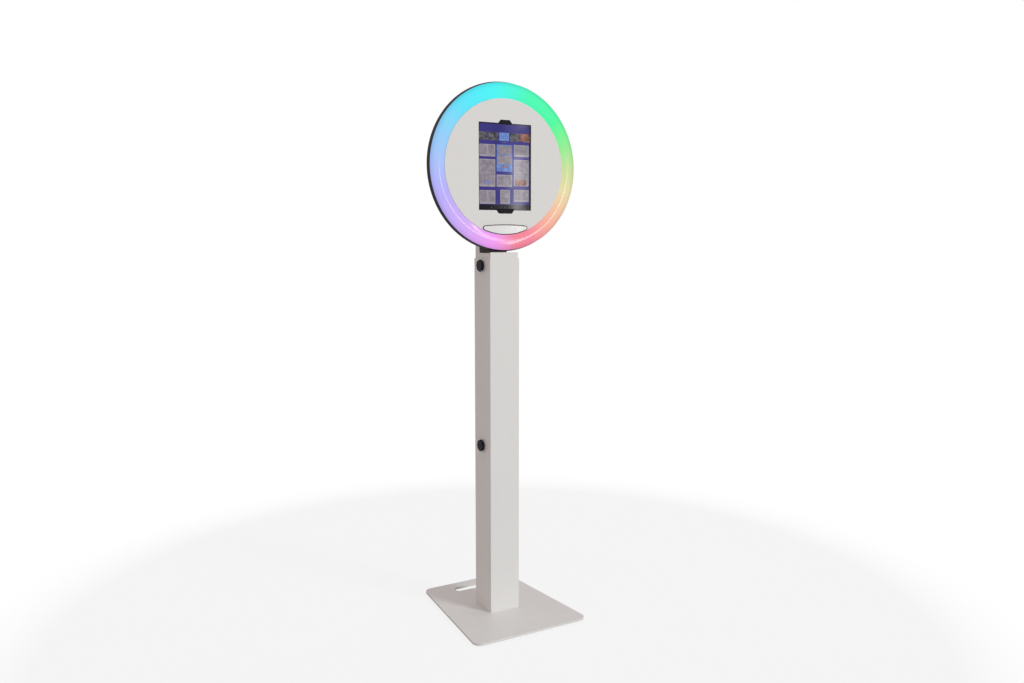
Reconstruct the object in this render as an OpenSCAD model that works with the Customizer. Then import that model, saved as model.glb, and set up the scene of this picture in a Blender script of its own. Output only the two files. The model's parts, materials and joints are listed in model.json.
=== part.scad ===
// Free-standing photo booth: a ring light head with a tablet on a two-part telescopic column.
// The origin is on the floor under the column's centre. +Z is up and the screen faces -Y.

/* [Overall] */
// Outer width and depth of the square column
column_w = 98; // [82:0.5:110]
// Height of the lower column above the base plate
lower_column_h = 525; // [420:5:600]
// Height of the upper column above the middle seam
upper_column_h = 539; // [430:5:620]
// Outer radius of the ring light head
head_r = 240; // [232:1:270]

/* [Base] */
// Width of the base plate along its front edge
plate_front_w = 375.4; // [330:0.2:420]
// Width of the base plate along its back edge
plate_back_w = 296.8; // [270:0.2:330]
// Depth of the base plate
plate_d = 434.4; // [400:0.2:480]
// Thickness of the base plate
plate_t = 6; // [5:0.5:10]
// Radius of the base plate's corners
plate_corner_r = 25; // [20:1:35]
// Length of the handle slot
slot_l = 125; // [100:1:150]
// Width of the handle slot
slot_w = 30; // [24:1:34]
// Distance of the handle slot behind the column's axis
slot_y = 165; // [150:1:175]
// Height of the rubber feet
foot_h = 4; // [3:0.5:8]
// Radius of the rubber feet
foot_r = 14; // [12:0.5:18]
// Distance between the bolts that hold the column, along X and along Y
column_bolt_pitch = 60; // [50:1:70]

/* [Column] */
// Wall of the column tubes
tube_wall = 2; // [1.5:0.1:2.5]
// Gap between a sliding tube and the tube around it
slide_gap = 0.5; // [0.3:0.1:0.8]
// Depth of the spigot inside the lower column
spigot_below = 200; // [180:5:240]
// Depth of the spigot inside the upper column
spigot_above = 100; // [80:5:140]
// Lift of the upper column
column_travel = 120; // [60:5:130]
// Depth of the neck inside the upper column
neck_below = 230; // [200:5:260]
// Lift of the neck
neck_travel = 120; // [60:5:140]
// Height of the neck's front wall above the upper column
neck_front_h = 18; // [16:0.5:24]

/* [Knobs] */
// Radius of the star knobs over their lobes
knob_r = 17.6; // [15:0.1:20]
// Thickness of the star knobs
knob_t = 9; // [7:0.5:12]
// Distance of the lower knob's axis below the middle seam
lower_knob_drop = 18; // [18:0.5:28]
// Distance of the upper knob's axis below the top seam
upper_knob_drop = 21; // [19:0.5:28]
// Radius of the knobs' studs
stud_r = 4; // [3:0.5:5]

/* [Head] */
// Gap between the neck's front wall and the head
head_gap = 3; // [2.5:0.5:6]
// Forward distance of the pan's back from the column's axis
pan_back = 36; // [35:0.5:38]
// Depth of the pan's rim over the tablet's thickness
rim_spare = 7; // [7:0.5:9]
// Inward lean of the rim from its back edge to its front edge
rim_lean = 4; // [0:0.5:8]
// Forward step of the face panel from the rim
face_step = 2.5; // [2.5:0.5:3.5]
// Radial width of the light ring
ring_w = 48; // [44:0.5:50]
// Distance of the tilt pivot in front of the spine's back wall
pivot_inset = 13.5; // [13:0.5:14.5]
// Depth of the spine from front to back
spine_d = 25.5; // [25:0.5:28]
// Height of the spine above the tilt pivot
spine_above = 42; // [30:1:60]

/* [Tablet] */
// Width of the tablet
tablet_w = 174; // [170:0.2:176]
// Height of the tablet
tablet_h = 250.6; // [245:0.2:252]
// Thickness of the tablet
tablet_t = 7.5; // [6:0.1:9.5]
// Width of the window in the face panel
window_w = 171.6; // [166:0.2:174]
// Height of the window in the face panel
window_h = 245.2; // [238:0.2:248]
// Travel of the upper jaw
jaw_travel = 6; // [3:0.5:7]

/* [Rear housing] */
// Width of the rear housing
housing_w = 150; // [140:1:156]
// Height of the rear housing
housing_h = 180; // [176:1:184]
// Depth of the rear housing
housing_d = 28; // [27:0.5:30]
// Travel of the push buttons
button_travel = 1.2; // [0.8:0.1:1.5]

/* [Hidden] */
$fn = 96;

// Clearances: a turning shaft, a screw in a plain hole, and two pieces side by side
running_fit = 0.05;
pin_fit = 0.1;
screw_fit = 0.3;
side_gap = 0.3;
// A cut reaches this far past the face it opens
past = 1;

// Colours
white_paint = [0.84, 0.83, 0.81];
black_paint = [0.06, 0.06, 0.07];
black_plastic = [0.08, 0.08, 0.09];
zinc = [0.75, 0.76, 0.78];
milky = [0.93, 0.93, 0.95];

// Heights, from the floor up
plate_top = foot_h + plate_t;
mid_seam_z = plate_top + lower_column_h;
top_seam_z = mid_seam_z + upper_column_h;
neck_front_z = top_seam_z + neck_front_h;
neck_side_z = neck_front_z - 2;
head_z = neck_front_z + head_gap + head_r;
spine_top_z = head_z + spine_above;
lower_knob_z = mid_seam_z - lower_knob_drop;
upper_knob_z = top_seam_z - upper_knob_drop;

// Tubes
tube_r = 2;
column_inner = column_w - 2 * tube_wall;
slider_w = column_inner - 2 * slide_gap;
slider_inner = slider_w - 2 * tube_wall;
spine_front_y = slider_w / 2 - spine_d;
pivot_y = slider_inner / 2 - pivot_inset;
slot_half = stud_r + 0.5;
rivet_r = 2.4;
rivet_head_r = 4.5;
rivet_head_t = 1.5;
rivet_hole_r = rivet_r + pin_fit;
flange_t = 8;
flange_w = column_inner - 1;
nut_plate_t = 8;
nut_plate_w = 30;

// Star knobs on the -X side: each foot stands just off the column
knob_foot_x = -column_w / 2 - 0.5;
knob_foot_t = 1.5;
stud_in_knob = 6;
knob_lobes = 8;
lobe_r = 0.27 * knob_r;

// The spine's black cover
cover_screw_heights = [head_z - 165, head_z - 75];
cover_low = top_seam_z - 12;
cover_high = head_z - 45;
cover_front_y = spine_front_y + 2.5;
cover_t = 1.5;
cover_half = slider_inner / 2 - 0.2;
cover_side_d = 13;
cover_screw_y = cover_front_y + 8;

// Column bolts and foot screws
bolt_r = 4;
bolt_head_r = 8;
bolt_head_t = 3.5;
foot_screw_r = 2.5;
foot_screw_head_r = 4.6;
foot_screw_head_t = 2.2;

// Base plate: its sides lean in towards the back, and each corner is an arc
side_lean = atan((plate_front_w - plate_back_w) / 2 / plate_d);
function corner_x(from_front) =
    plate_front_w / 2 - (plate_corner_r + sin(side_lean) * from_front) / cos(side_lean);
front_corner = [corner_x(plate_corner_r), plate_corner_r - plate_d / 2];
back_corner = [corner_x(plate_d - plate_corner_r), plate_d / 2 - plate_corner_r];
side_normal = [cos(side_lean), sin(side_lean)] * plate_corner_r;

// Head levels, as forward distances from the column's axis
pan_t = 1.5;
pan_front = pan_back + tablet_t + rim_spare;
pan_floor = pan_back + pan_t;
face_front = pan_front + face_step;
face_t = 2;
face_back = face_front - face_t;
glass_front = face_back - 1.8;
glass_t = 0.8;
glass_r = 9;
tablet_back = glass_front - tablet_t;
tray_t = 1.2;
tray_front = tablet_back - side_gap;
tray_back = tray_front - tray_t;
housing_back = pan_back - housing_d;
bracket_t = 3;

// Light ring: the diffuser is a thin arched shell between the face panel and the rim
panel_r = head_r - ring_w;
shell_t = 2;
ring_in = panel_r + 0.2;
ring_out = head_r - rim_lean - pan_t - 0.2;
arch_edge = pan_front + 0.6;
arch_rise = 3;
arch_half = (ring_out - ring_in) / 2;
arch_r = (arch_half * arch_half + arch_rise * arch_rise) / (2 * arch_rise);
arch_mid = (ring_out + ring_in) / 2;
arch_centre = arch_edge + arch_rise - arch_r;
board_in = panel_r + 8;
board_out = ring_out - shell_t - 2;
board_t = 1.6;
led_count = 60;
led_w = 5;
led_t = 1.6;
dam_in = panel_r - 4;
dam_t = 2;

// Tilt hinge: a bolt through each side of the spine, with a washer and a nut around the bracket's ear
ear_outer = slider_inner / 2 - 2.5;
ear_r = 12;
ear_base = 28;
washer_r = 10;
washer_t = 2.2;
nut_r = 7.5;
nut_t = 6.5;
pivot_head_r = 6.5;
pivot_head_t = 5;

// Tablet clamp
lip_front = face_back - 0.4;
lip_t = 1.2;
tab_h = 9.5;
upper_tab_base = 46;
upper_tab_top = 30;
lower_tab_base = 58;
lower_tab_top = 43;
jaw_w = 58;
jaw_h = 11.5;
jaw_back = tray_front + 0.2;
jaw_bottom = tablet_h / 2 + side_gap;
jaw_top = jaw_bottom + jaw_h;
spring_closed = 12;
spring_l = jaw_travel + spring_closed;
guide_bottom = jaw_top + spring_l;
guide_h = 5;
pin_x = 18;
pin_r = 1.5;
pin_seat = 3;
pin_level = (lip_front + jaw_back) / 2;
coil_r = 3;
wire_r = 0.5;
coils = 5;

// Badge at the bottom of the face panel
trim_w = 2.4;
trim_overhang = 0.6;
badge_r = panel_r + trim_overhang - trim_w;
badge_half = 66;
badge_end_r = 4.9;
badge_end_y = -sqrt(pow(badge_r - badge_end_r, 2) - pow(badge_half, 2));
badge_top_arc = 730;
badge_top_bow = badge_top_arc - sqrt(pow(badge_top_arc, 2) - pow(badge_half, 2));
badge_top = -badge_end_y - badge_end_r - badge_top_bow;

// Fixings on the head
face_screw_ring = 160;
spacer_r = 4;
thread_l = 7;
small_screw_r = 1.5;
medium_screw_r = 2;
tray_screw = [60, 100];
housing_screw = [housing_w / 2 + 6, 70];
bracket_screw = [ear_outer - 14, 20];

// Electrical parts inside the rear housing
wall = 2;
box_w = 90;
box_low = -20;
box_high = 40;
box_front = pan_back - 5;
box_back = pan_back - 23;
lead_r = 1.1;
lead_hole_r = 3;
lead_x = 36;
lead_hole_y = -60;
board_end_y = sqrt(board_in * board_in - lead_x * lead_x) - 0.4;
dam_notch_y = sqrt(dam_in * dam_in - lead_x * lead_x) + 1;
cable_r = 1.5;
mid_level = pan_back - 14;
inlet_x = 25;
switch_x = -25;
button_pitch = 16;
button_r = 4;
button_y = 10;
button_proud = 2.5;
collar_t = 1;
collar_gap = 0.2;
inlet_r = 5.4;
inlet_flange_r = 7;
inlet_flange_t = 2;
inlet_l = 14;
jack_r = 3.15;
jack_depth = 9;
switch_w = 19;
switch_d = 13;
switch_l = 13;
switch_flange = 1;
switch_flange_t = 1.8;
rocker_gap = 0.4;
rocker_w = 17;
rocker_d = 11;
rocker_lean = 8;
rocker_axis = -housing_h / 2 + 1;

module rounded_square(w, d, r) {
    square([w - 2 * r, d], center = true);
    square([w, d - 2 * r], center = true);
    for (sx = [-1, 1], sy = [-1, 1])
        translate([sx * (w / 2 - r), sy * (d / 2 - r)]) circle(r);
}

module square_tube(w, inner, r, low, high) {
    translate([0, 0, low]) linear_extrude(high - low) difference() {
        rounded_square(w, w, r);
        square(inner, center = true);
    }
}

module at_four(x, y) {
    for (sx = [-1, 1], sy = [-1, 1]) translate([sx * x, sy * y, 0]) children();
}

// The head is drawn as seen from the front: x to the right, y up, z towards the viewer
module head_space() {
    translate([0, 0, head_z]) rotate([90, 0, 0]) children();
}

module slab(low, high) {
    translate([0, 0, low]) linear_extrude(high - low) children();
}

module disc(r, low, high) {
    slab(low, high) circle(r);
}

// A button-headed screw that points to +Z, with its head's seat at z = 0
module screw(r, length) {
    cylinder(r = r, h = length);
    translate([0, 0, -1.3 * r]) cylinder(r = 1.9 * r, h = 1.3 * r);
}

module plate_outline() {
    tangents = [
        front_corner - [0, plate_corner_r],
        front_corner + side_normal,
        back_corner + side_normal,
        back_corner + [0, plate_corner_r]
    ];
    mirrored = [for (i = [3:-1:0]) [-tangents[i][0], tangents[i][1]]];
    polygon(concat(tangents, mirrored));
    for (side = [-1, 1], c = [front_corner, back_corner])
        translate([side * c[0], c[1]]) circle(plate_corner_r);
}

module at_feet() {
    for (side = [-1, 1], c = [front_corner, back_corner])
        translate([side * c[0], c[1], 0]) children();
}

module base_plate() {
    foot_thread_l = plate_t - 1;
    color(white_paint) difference() {
        translate([0, 0, foot_h]) linear_extrude(plate_t) plate_outline();
        translate([0, slot_y, foot_h - past]) linear_extrude(plate_t + 2 * past) {
            square([slot_l - slot_w, slot_w], center = true);
            for (side = [-1, 1]) translate([side * (slot_l - slot_w) / 2, 0]) circle(slot_w / 2);
        }
        at_four(column_bolt_pitch / 2, column_bolt_pitch / 2) {
            translate([0, 0, foot_h - past]) cylinder(r = bolt_r + screw_fit, h = plate_t + 2 * past);
            translate([0, 0, foot_h - past]) cylinder(r = bolt_head_r + screw_fit, h = bolt_head_t + past);
        }
        at_feet() translate([0, 0, foot_h - past])
            cylinder(r = foot_screw_r + running_fit, h = foot_thread_l + past);
    }
}

module rubber_feet() {
    head_depth = foot_screw_head_t + 0.3;
    color(black_plastic) at_feet() difference() {
        cylinder(r = foot_r, h = foot_h);
        translate([0, 0, -past]) cylinder(r = foot_screw_r + screw_fit, h = foot_h + 2 * past);
        translate([0, 0, -past]) cylinder(r = foot_screw_head_r + screw_fit, h = head_depth + past);
    }
}

module foot_screws() {
    seat = foot_screw_head_t + 0.3;
    length = foot_h - seat + plate_t - 1.5;
    color(zinc) at_feet() {
        translate([0, 0, seat - foot_screw_head_t]) cylinder(r = foot_screw_head_r, h = foot_screw_head_t);
        translate([0, 0, seat]) cylinder(r = foot_screw_r, h = length);
    }
}

module column_flange() {
    color(zinc) difference() {
        translate([0, 0, plate_top]) linear_extrude(flange_t) square(flange_w, center = true);
        at_four(column_bolt_pitch / 2, column_bolt_pitch / 2)
            translate([0, 0, plate_top - past]) cylinder(r = bolt_r + running_fit, h = flange_t + 2 * past);
    }
}

module column_bolts() {
    seat = foot_h + bolt_head_t;
    color(zinc) at_four(column_bolt_pitch / 2, column_bolt_pitch / 2) {
        translate([0, 0, foot_h]) cylinder(r = bolt_head_r, h = bolt_head_t);
        translate([0, 0, seat]) cylinder(r = bolt_r, h = plate_top + flange_t - seat + 2);
    }
}

// A hole for a knob's stud through the tube wall on the -X side
module stud_hole(r, z) {
    translate([-column_w / 2 - past, 0, z]) rotate([0, 90, 0])
        cylinder(r = r, h = tube_wall + slide_gap + 2 * past);
}

// A slot for a knob's stud, up the -X side of a sliding tube
module stud_slot(z, travel) {
    translate([-slider_w / 2 - past, 0, 0]) rotate([90, 0, 90]) linear_extrude(tube_wall + 2 * past) {
        for (end = [z - travel, z]) translate([0, end]) circle(slot_half);
        translate([-slot_half, z - travel]) square([2 * slot_half, travel]);
    }
}

module lower_column() {
    color(white_paint) difference() {
        square_tube(column_w, column_inner, tube_r, plate_top, mid_seam_z);
        stud_hole(stud_r + screw_fit, lower_knob_z);
    }
}

module spigot_rivet_places() {
    for (side = [-1, 1], up = [0.3, 0.75])
        translate([side * column_w / 4, column_w / 2, mid_seam_z + up * spigot_above]) rotate([90, 0, 0])
            children();
}

module upper_column() {
    color(white_paint) difference() {
        square_tube(column_w, column_inner, tube_r, mid_seam_z, top_seam_z);
        stud_hole(stud_r + screw_fit, upper_knob_z);
        spigot_rivet_places() translate([0, 0, -past])
            cylinder(r = rivet_hole_r, h = tube_wall + slide_gap + past);
    }
}

module column_spigot() {
    color(zinc) difference() {
        square_tube(slider_w, slider_inner, tube_r, mid_seam_z - spigot_below, mid_seam_z + spigot_above);
        stud_slot(lower_knob_z, column_travel);
        spigot_rivet_places() cylinder(r = rivet_hole_r, h = 2 * tube_wall + slide_gap + past);
    }
}

module spigot_rivets() {
    color(white_paint) spigot_rivet_places() {
        translate([0, 0, -rivet_head_t]) cylinder(r = rivet_head_r, h = rivet_head_t);
        cylinder(r = rivet_r, h = 2 * tube_wall + slide_gap + 2);
    }
}

module nut_plate(z) {
    outer_x = -slider_inner / 2 + side_gap;
    color(zinc) difference() {
        translate([outer_x, -nut_plate_w / 2, z - nut_plate_w / 2])
            cube([nut_plate_t, nut_plate_w, nut_plate_w]);
        translate([outer_x - past, 0, z]) rotate([0, 90, 0])
            cylinder(r = stud_r + running_fit, h = nut_plate_t + 2 * past);
    }
}

module star_knob(z) {
    color(black_plastic) translate([knob_foot_x, 0, z]) rotate([0, -90, 0]) difference() {
        union() {
            cylinder(r = 0.6 * knob_r, h = knob_foot_t + past);
            translate([0, 0, knob_foot_t]) linear_extrude(knob_t) {
                circle(0.8 * knob_r);
                for (i = [0:knob_lobes - 1]) rotate(i * 360 / knob_lobes)
                    translate([knob_r - lobe_r, 0]) circle(lobe_r);
            }
        }
        translate([0, 0, -past]) cylinder(r = stud_r, h = stud_in_knob + past);
    }
}

module knob_stud(z) {
    inner_x = -slider_inner / 2 + side_gap + nut_plate_t + 2;
    outer_x = knob_foot_x - stud_in_knob;
    color(zinc) translate([outer_x, 0, z]) rotate([0, 90, 0]) cylinder(r = stud_r, h = inner_x - outer_x);
}

module lower_nut_plate() { nut_plate(lower_knob_z); }
module lower_knob() { star_knob(lower_knob_z); }
module lower_stud() { knob_stud(lower_knob_z); }
module upper_nut_plate() { nut_plate(upper_knob_z); }
module upper_knob() { star_knob(upper_knob_z); }
module upper_stud() { knob_stud(upper_knob_z); }

module pivot_holes(r) {
    translate([-slider_w / 2 - past, pivot_y, head_z]) rotate([0, 90, 0])
        cylinder(r = r, h = slider_w + 2 * past);
}

module cover_screw_places() {
    for (side = [-1, 1], z = cover_screw_heights)
        translate([side * slider_w / 2, cover_screw_y, z]) rotate([0, -side * 90, 0]) children();
}

// The neck slides in the upper column, and its back part runs on up as an open spine
module neck_post() {
    color(white_paint) difference() {
        square_tube(slider_w, slider_inner, tube_r, top_seam_z - neck_below, spine_top_z);
        translate([-slider_w, -slider_inner / 2, neck_side_z])
            cube([2 * slider_w, slider_inner / 2 + spine_front_y, spine_top_z]);
        translate([-slider_w, -slider_w, neck_front_z])
            cube([2 * slider_w, slider_w + spine_front_y, spine_top_z]);
        stud_slot(upper_knob_z, neck_travel);
        pivot_holes(bolt_r + running_fit);
        cover_screw_places() translate([0, 0, -past])
            cylinder(r = small_screw_r + screw_fit, h = tube_wall + 2 * past);
    }
}

module spine_cover() {
    color(black_paint) difference() {
        union() {
            translate([-cover_half, cover_front_y, cover_low])
                cube([2 * cover_half, cover_t, cover_high - cover_low]);
            for (side = [0, 1]) mirror([side, 0, 0])
                translate([cover_half - cover_t, cover_front_y, cover_low])
                    cube([cover_t, cover_side_d, cover_high - cover_low]);
        }
        cover_screw_places() cylinder(r = small_screw_r + running_fit, h = 3 * tube_wall);
    }
}

module cover_screws() {
    color(black_plastic) cover_screw_places() screw(small_screw_r, 3 * tube_wall);
}

module at_pivots() {
    for (side = [0, 1]) mirror([side, 0, 0])
        translate([slider_w / 2, pivot_y, head_z]) rotate([0, -90, 0]) children();
}

module tilt_bolts() {
    length = slider_w / 2 - ear_outer + bracket_t + nut_t + pin_fit;
    color(zinc) at_pivots() {
        cylinder(r = bolt_r, h = length);
        translate([0, 0, -pivot_head_t]) cylinder(r = pivot_head_r, h = pivot_head_t);
    }
}

module tilt_washers() {
    start = tube_wall + pin_fit;
    color([0.85, 0.85, 0.8]) at_pivots() difference() {
        translate([0, 0, start]) cylinder(r = washer_r, h = washer_t);
        cylinder(r = bolt_r + pin_fit, h = start + washer_t + past);
    }
}

module tilt_nuts() {
    start = slider_w / 2 - ear_outer + bracket_t + pin_fit;
    color(zinc) at_pivots() difference() {
        translate([0, 0, start]) cylinder(r = nut_r, h = nut_t, $fn = 6);
        cylinder(r = bolt_r, h = start + nut_t + past);
    }
}

module head_bracket() {
    color(black_paint) head_space() difference() {
        union() {
            slab(housing_back - bracket_t, housing_back) square([2 * ear_outer, 2 * ear_base], center = true);
            for (x = [ear_outer, bracket_t - ear_outer])
                translate([x, 0, 0]) rotate([0, -90, 0]) linear_extrude(bracket_t) {
                    polygon([[housing_back, ear_base], [-pivot_y, ear_r], [-pivot_y, -ear_r],
                        [housing_back, -ear_base]]);
                    translate([-pivot_y, 0]) circle(ear_r);
                }
        }
        translate([-ear_outer - past, 0, -pivot_y]) rotate([0, 90, 0])
            cylinder(r = bolt_r + running_fit, h = 2 * ear_outer + 2 * past);
        at_four(bracket_screw[0], bracket_screw[1])
            cylinder(r = foot_screw_r + screw_fit, h = housing_back + past);
    }
}

module bracket_screws() {
    color(zinc) head_space() at_four(bracket_screw[0], bracket_screw[1])
        translate([0, 0, housing_back - bracket_t]) screw(foot_screw_r, bracket_t + wall + 2);
}

module at_face_screws() {
    for (i = [0:5]) rotate(i * 60) translate([face_screw_ring, 0, 0]) children();
}

// The pan's outside or inside, from one level up to the rim's front edge and just past it inside
module rim_cone(back_r, low) {
    lean = rim_lean / (pan_front - pan_back);
    high = low > pan_back ? pan_front + past : pan_front;
    low_r = back_r - lean * (low - pan_back);
    high_r = back_r - lean * (high - pan_back);
    translate([0, 0, low]) cylinder(r1 = low_r, r2 = high_r, h = high - low);
}

module rear_pan() {
    color(black_paint) head_space() difference() {
        rim_cone(head_r, pan_back);
        rim_cone(head_r - pan_t, pan_floor);
        at_face_screws() translate([0, 0, pan_back - past])
            cylinder(r = medium_screw_r + screw_fit, h = 2 * past + pan_t);
        at_four(tray_screw[0], tray_screw[1])
            translate([0, 0, pan_back - past]) cylinder(r = small_screw_r + pin_fit, h = 2 * past + pan_t);
        at_four(housing_screw[0], housing_screw[1])
            translate([0, 0, pan_back - past]) cylinder(r = medium_screw_r, h = 2 * past + pan_t);
        for (side = [-1, 1]) translate([side * pin_x, guide_bottom + guide_h / 2, pan_back - past])
            cylinder(r = small_screw_r + pin_fit, h = 2 * past + pan_t);
        translate([lead_x, lead_hole_y, pan_back - past]) cylinder(r = lead_hole_r, h = 2 * past + pan_t);
    }
}

module housing_ears() {
    for (side = [-1, 1], up = [-1, 1])
        translate([side * (housing_w / 2 + 4), up * housing_screw[1]]) rounded_square(20, 24, 4);
}

module rear_housing() {
    inner_front = pan_back + past;
    color(black_paint) head_space() difference() {
        union() {
            slab(housing_back, pan_back) rounded_square(housing_w, housing_h, 10);
            slab(pan_back - wall, pan_back) housing_ears();
        }
        slab(housing_back + wall, inner_front) rounded_square(housing_w - 2 * wall, housing_h - 2 * wall, 8);
        at_four(housing_screw[0], housing_screw[1])
            translate([0, 0, pan_back - wall - past])
                cylinder(r = medium_screw_r + screw_fit, h = wall + 2 * past);
        at_four(bracket_screw[0], bracket_screw[1])
            translate([0, 0, housing_back - past]) cylinder(r = foot_screw_r, h = wall + 2 * past);
        for (i = [-1:1]) translate([-housing_w / 2 - past, button_y + i * button_pitch, mid_level])
            rotate([0, 90, 0]) cylinder(r = button_r + side_gap, h = wall + 2 * past);
        translate([inlet_x, -housing_h / 2 - past, mid_level]) rotate([-90, 0, 0])
            cylinder(r = inlet_r + pin_fit, h = wall + 2 * past);
        translate([switch_x, -housing_h / 2, mid_level])
            cube([switch_w + 2 * pin_fit, 4 * wall, switch_d + 2 * pin_fit], center = true);
    }
}

module housing_screws() {
    color(zinc) head_space() at_four(housing_screw[0], housing_screw[1])
        translate([0, 0, pan_back - wall]) screw(medium_screw_r, wall + pan_t + 1);
}

module led_board() {
    color([0.9, 0.9, 0.88]) head_space() slab(pan_floor, pan_floor + board_t) difference() {
        circle(board_out);
        circle(board_in);
    }
}

module leds() {
    color([0.95, 0.9, 0.6]) head_space() for (i = [0:led_count - 1]) rotate(i * 360 / led_count)
        translate([arch_mid - led_w / 2, -led_w / 2, pan_floor + board_t]) cube([led_w, led_w, led_t]);
}

module light_dam() {
    color(milky) head_space() difference() {
        disc(dam_in + dam_t, pan_floor, face_back);
        disc(dam_in, pan_floor - past, face_back + past);
        translate([lead_x, -dam_notch_y, pan_floor])
            cube([2 * lead_hole_r, 6 * dam_t, 2 * lead_hole_r], center = true);
    }
}

module arch_profile(r, inset, low) {
    intersection() {
        translate([arch_mid, arch_centre]) circle(r);
        translate([ring_in + inset, low]) square([ring_out - ring_in - 2 * inset, face_front]);
    }
}

module diffuser_ring() {
    skirt_back = pan_floor + 0.2;
    inner_skirt_back = arch_edge - 6;
    color(milky) head_space() rotate_extrude() difference() {
        arch_profile(arch_r, 0, skirt_back);
        arch_profile(arch_r - shell_t, shell_t, skirt_back - past);
        translate([ring_in - past, skirt_back - past])
            square([shell_t + 2 * past, inner_skirt_back - skirt_back + past]);
    }
}

// A clamp tab's opening above the window: wide at the window's edge and narrower at its top
module tab_outline(base, top) {
    overlap = 3;
    polygon([[-base / 2, -overlap], [base / 2, -overlap], [base / 2, 0], [top / 2, tab_h],
        [-top / 2, tab_h], [-base / 2, 0]]);
}

module face_openings() {
    square([window_w, window_h], center = true);
    translate([0, window_h / 2]) tab_outline(upper_tab_base, upper_tab_top);
    mirror([0, 1]) translate([0, window_h / 2]) tab_outline(lower_tab_base, lower_tab_top);
}

module face_panel() {
    color(white_paint) head_space() slab(face_back, face_front) difference() {
        circle(panel_r);
        face_openings();
    }
}

module face_standoffs() {
    color(zinc) head_space() at_face_screws() difference() {
        translate([0, 0, pan_floor]) cylinder(r = spacer_r, h = face_back - pan_floor, $fn = 6);
        translate([0, 0, pan_floor - past]) cylinder(r = medium_screw_r, h = thread_l + past);
    }
}

module face_screws() {
    color(zinc) head_space() at_face_screws() translate([0, 0, pan_back])
        screw(medium_screw_r, pan_t + thread_l - 1);
}

module tray_spacers() {
    color(zinc) head_space() at_four(tray_screw[0], tray_screw[1]) difference() {
        translate([0, 0, pan_floor]) cylinder(r = spacer_r, h = tray_back - pan_floor);
        translate([0, 0, pan_floor - past]) cylinder(r = small_screw_r + pin_fit, h = tray_back + past);
    }
}

module tray_screws() {
    length = tray_front - pan_back;
    color(zinc) head_space() at_four(tray_screw[0], tray_screw[1]) translate([0, 0, pan_back])
        screw(small_screw_r, length);
}

module tablet_tray() {
    low = -tablet_h / 2;
    high = tablet_h / 2 - 4;
    inner = tablet_w / 2 + 0.6;
    lip_l = high - low;
    color(black_paint) head_space() difference() {
        union() {
            translate([-inner - tray_t, low, tray_back]) cube([2 * (inner + tray_t), lip_l, tray_t]);
            for (side = [0, 1]) mirror([side, 0, 0])
                translate([inner, low, tray_back]) cube([tray_t, lip_l, face_back - tray_back - 0.3]);
        }
        at_four(tray_screw[0], tray_screw[1])
            translate([0, 0, tray_back - past]) cylinder(r = small_screw_r, h = tray_t + 2 * past);
    }
}

module tablet_body() {
    color([0.55, 0.56, 0.58]) head_space() slab(tablet_back, glass_front - glass_t)
        rounded_square(tablet_w, tablet_h, glass_r);
}

module tablet_glass() {
    color([0.1, 0.1, 0.35]) head_space() slab(glass_front - glass_t, glass_front)
        rounded_square(tablet_w - 1, tablet_h - 1, glass_r - 0.5);
}

// The lower jaw is fixed: a block under the tablet with a lip that stands out over its glass
module lower_jaw() {
    block_low = -jaw_bottom - jaw_h;
    lip_low = -window_h / 2 - tab_h + 0.4;
    lip_high = -window_h / 2 + 4.5;
    nose = face_front + 1.2;
    color(black_plastic) head_space() {
        translate([-jaw_w / 2, block_low, pan_floor]) cube([jaw_w, jaw_h, lip_front - pan_floor]);
        translate([-lower_tab_base / 2 + 0.6, -window_h / 2 - 3, lip_front - lip_t])
            cube([lower_tab_base - 1.2, lip_high + window_h / 2 + 3, lip_t]);
        slab(lip_front - 0.2, face_front - 0.3) intersection() {
            mirror([0, 1]) translate([0, window_h / 2]) tab_outline(lower_tab_base - 1, lower_tab_top - 1);
            translate([-jaw_w / 2, lip_low]) square([jaw_w, lip_high - lip_low]);
        }
        translate([-lower_tab_base / 2 + 2, lip_high - 3, lip_front - 0.2])
            cube([lower_tab_base - 4, 2.4, nose - lip_front + 0.2]);
    }
}

module upper_jaw() {
    color(black_plastic) head_space() difference() {
        union() {
            translate([-jaw_w / 2, jaw_bottom, jaw_back]) cube([jaw_w, jaw_h, lip_front - jaw_back]);
            translate([-upper_tab_base / 2, window_h / 2 - 2.5, lip_front - lip_t])
                cube([upper_tab_base, jaw_bottom - window_h / 2 + 4, lip_t]);
        }
        for (side = [-1, 1]) translate([side * pin_x, jaw_bottom - past, pin_level]) rotate([-90, 0, 0])
            cylinder(r = pin_r + pin_fit, h = jaw_h + 2 * past);
    }
}

// A round wire swept along a helix: rings of points, joined by quads and closed by two caps
module helix(r, wire, length, turns, steps = 12, sides = 6) {
    count = turns * steps;
    climb = length - 2 * wire;
    rings = [for (i = [0:count]) let (a = i * 360 / steps, h = wire + climb * i / count)
        for (j = [0:sides - 1]) let (b = j * 360 / sides, q = r + wire * cos(b))
            [q * cos(a), q * sin(a), h + wire * sin(b)]];
    sleeves = [for (i = [0:count - 1], j = [0:sides - 1])
        let (k = (j + 1) % sides)
            [i * sides + j, i * sides + k, (i + 1) * sides + k, (i + 1) * sides + j]];
    caps = [[for (j = [sides - 1:-1:0]) j], [for (j = [0:sides - 1]) count * sides + j]];
    polyhedron(points = rings, faces = concat(sleeves, caps), convexity = 10);
}

module jaw_springs() {
    color(zinc) for (side = [-1, 1])
        translate([side * pin_x, -pin_level, head_z + jaw_top + 0.1])
            helix(coil_r, wire_r, spring_l - 0.2, coils);
}

module guide_pins() {
    color(zinc) head_space() for (side = [-1, 1])
        translate([side * pin_x, jaw_bottom + 2, pin_level]) rotate([-90, 0, 0])
            cylinder(r = pin_r, h = guide_bottom + pin_seat - jaw_bottom - 2);
}

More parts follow.
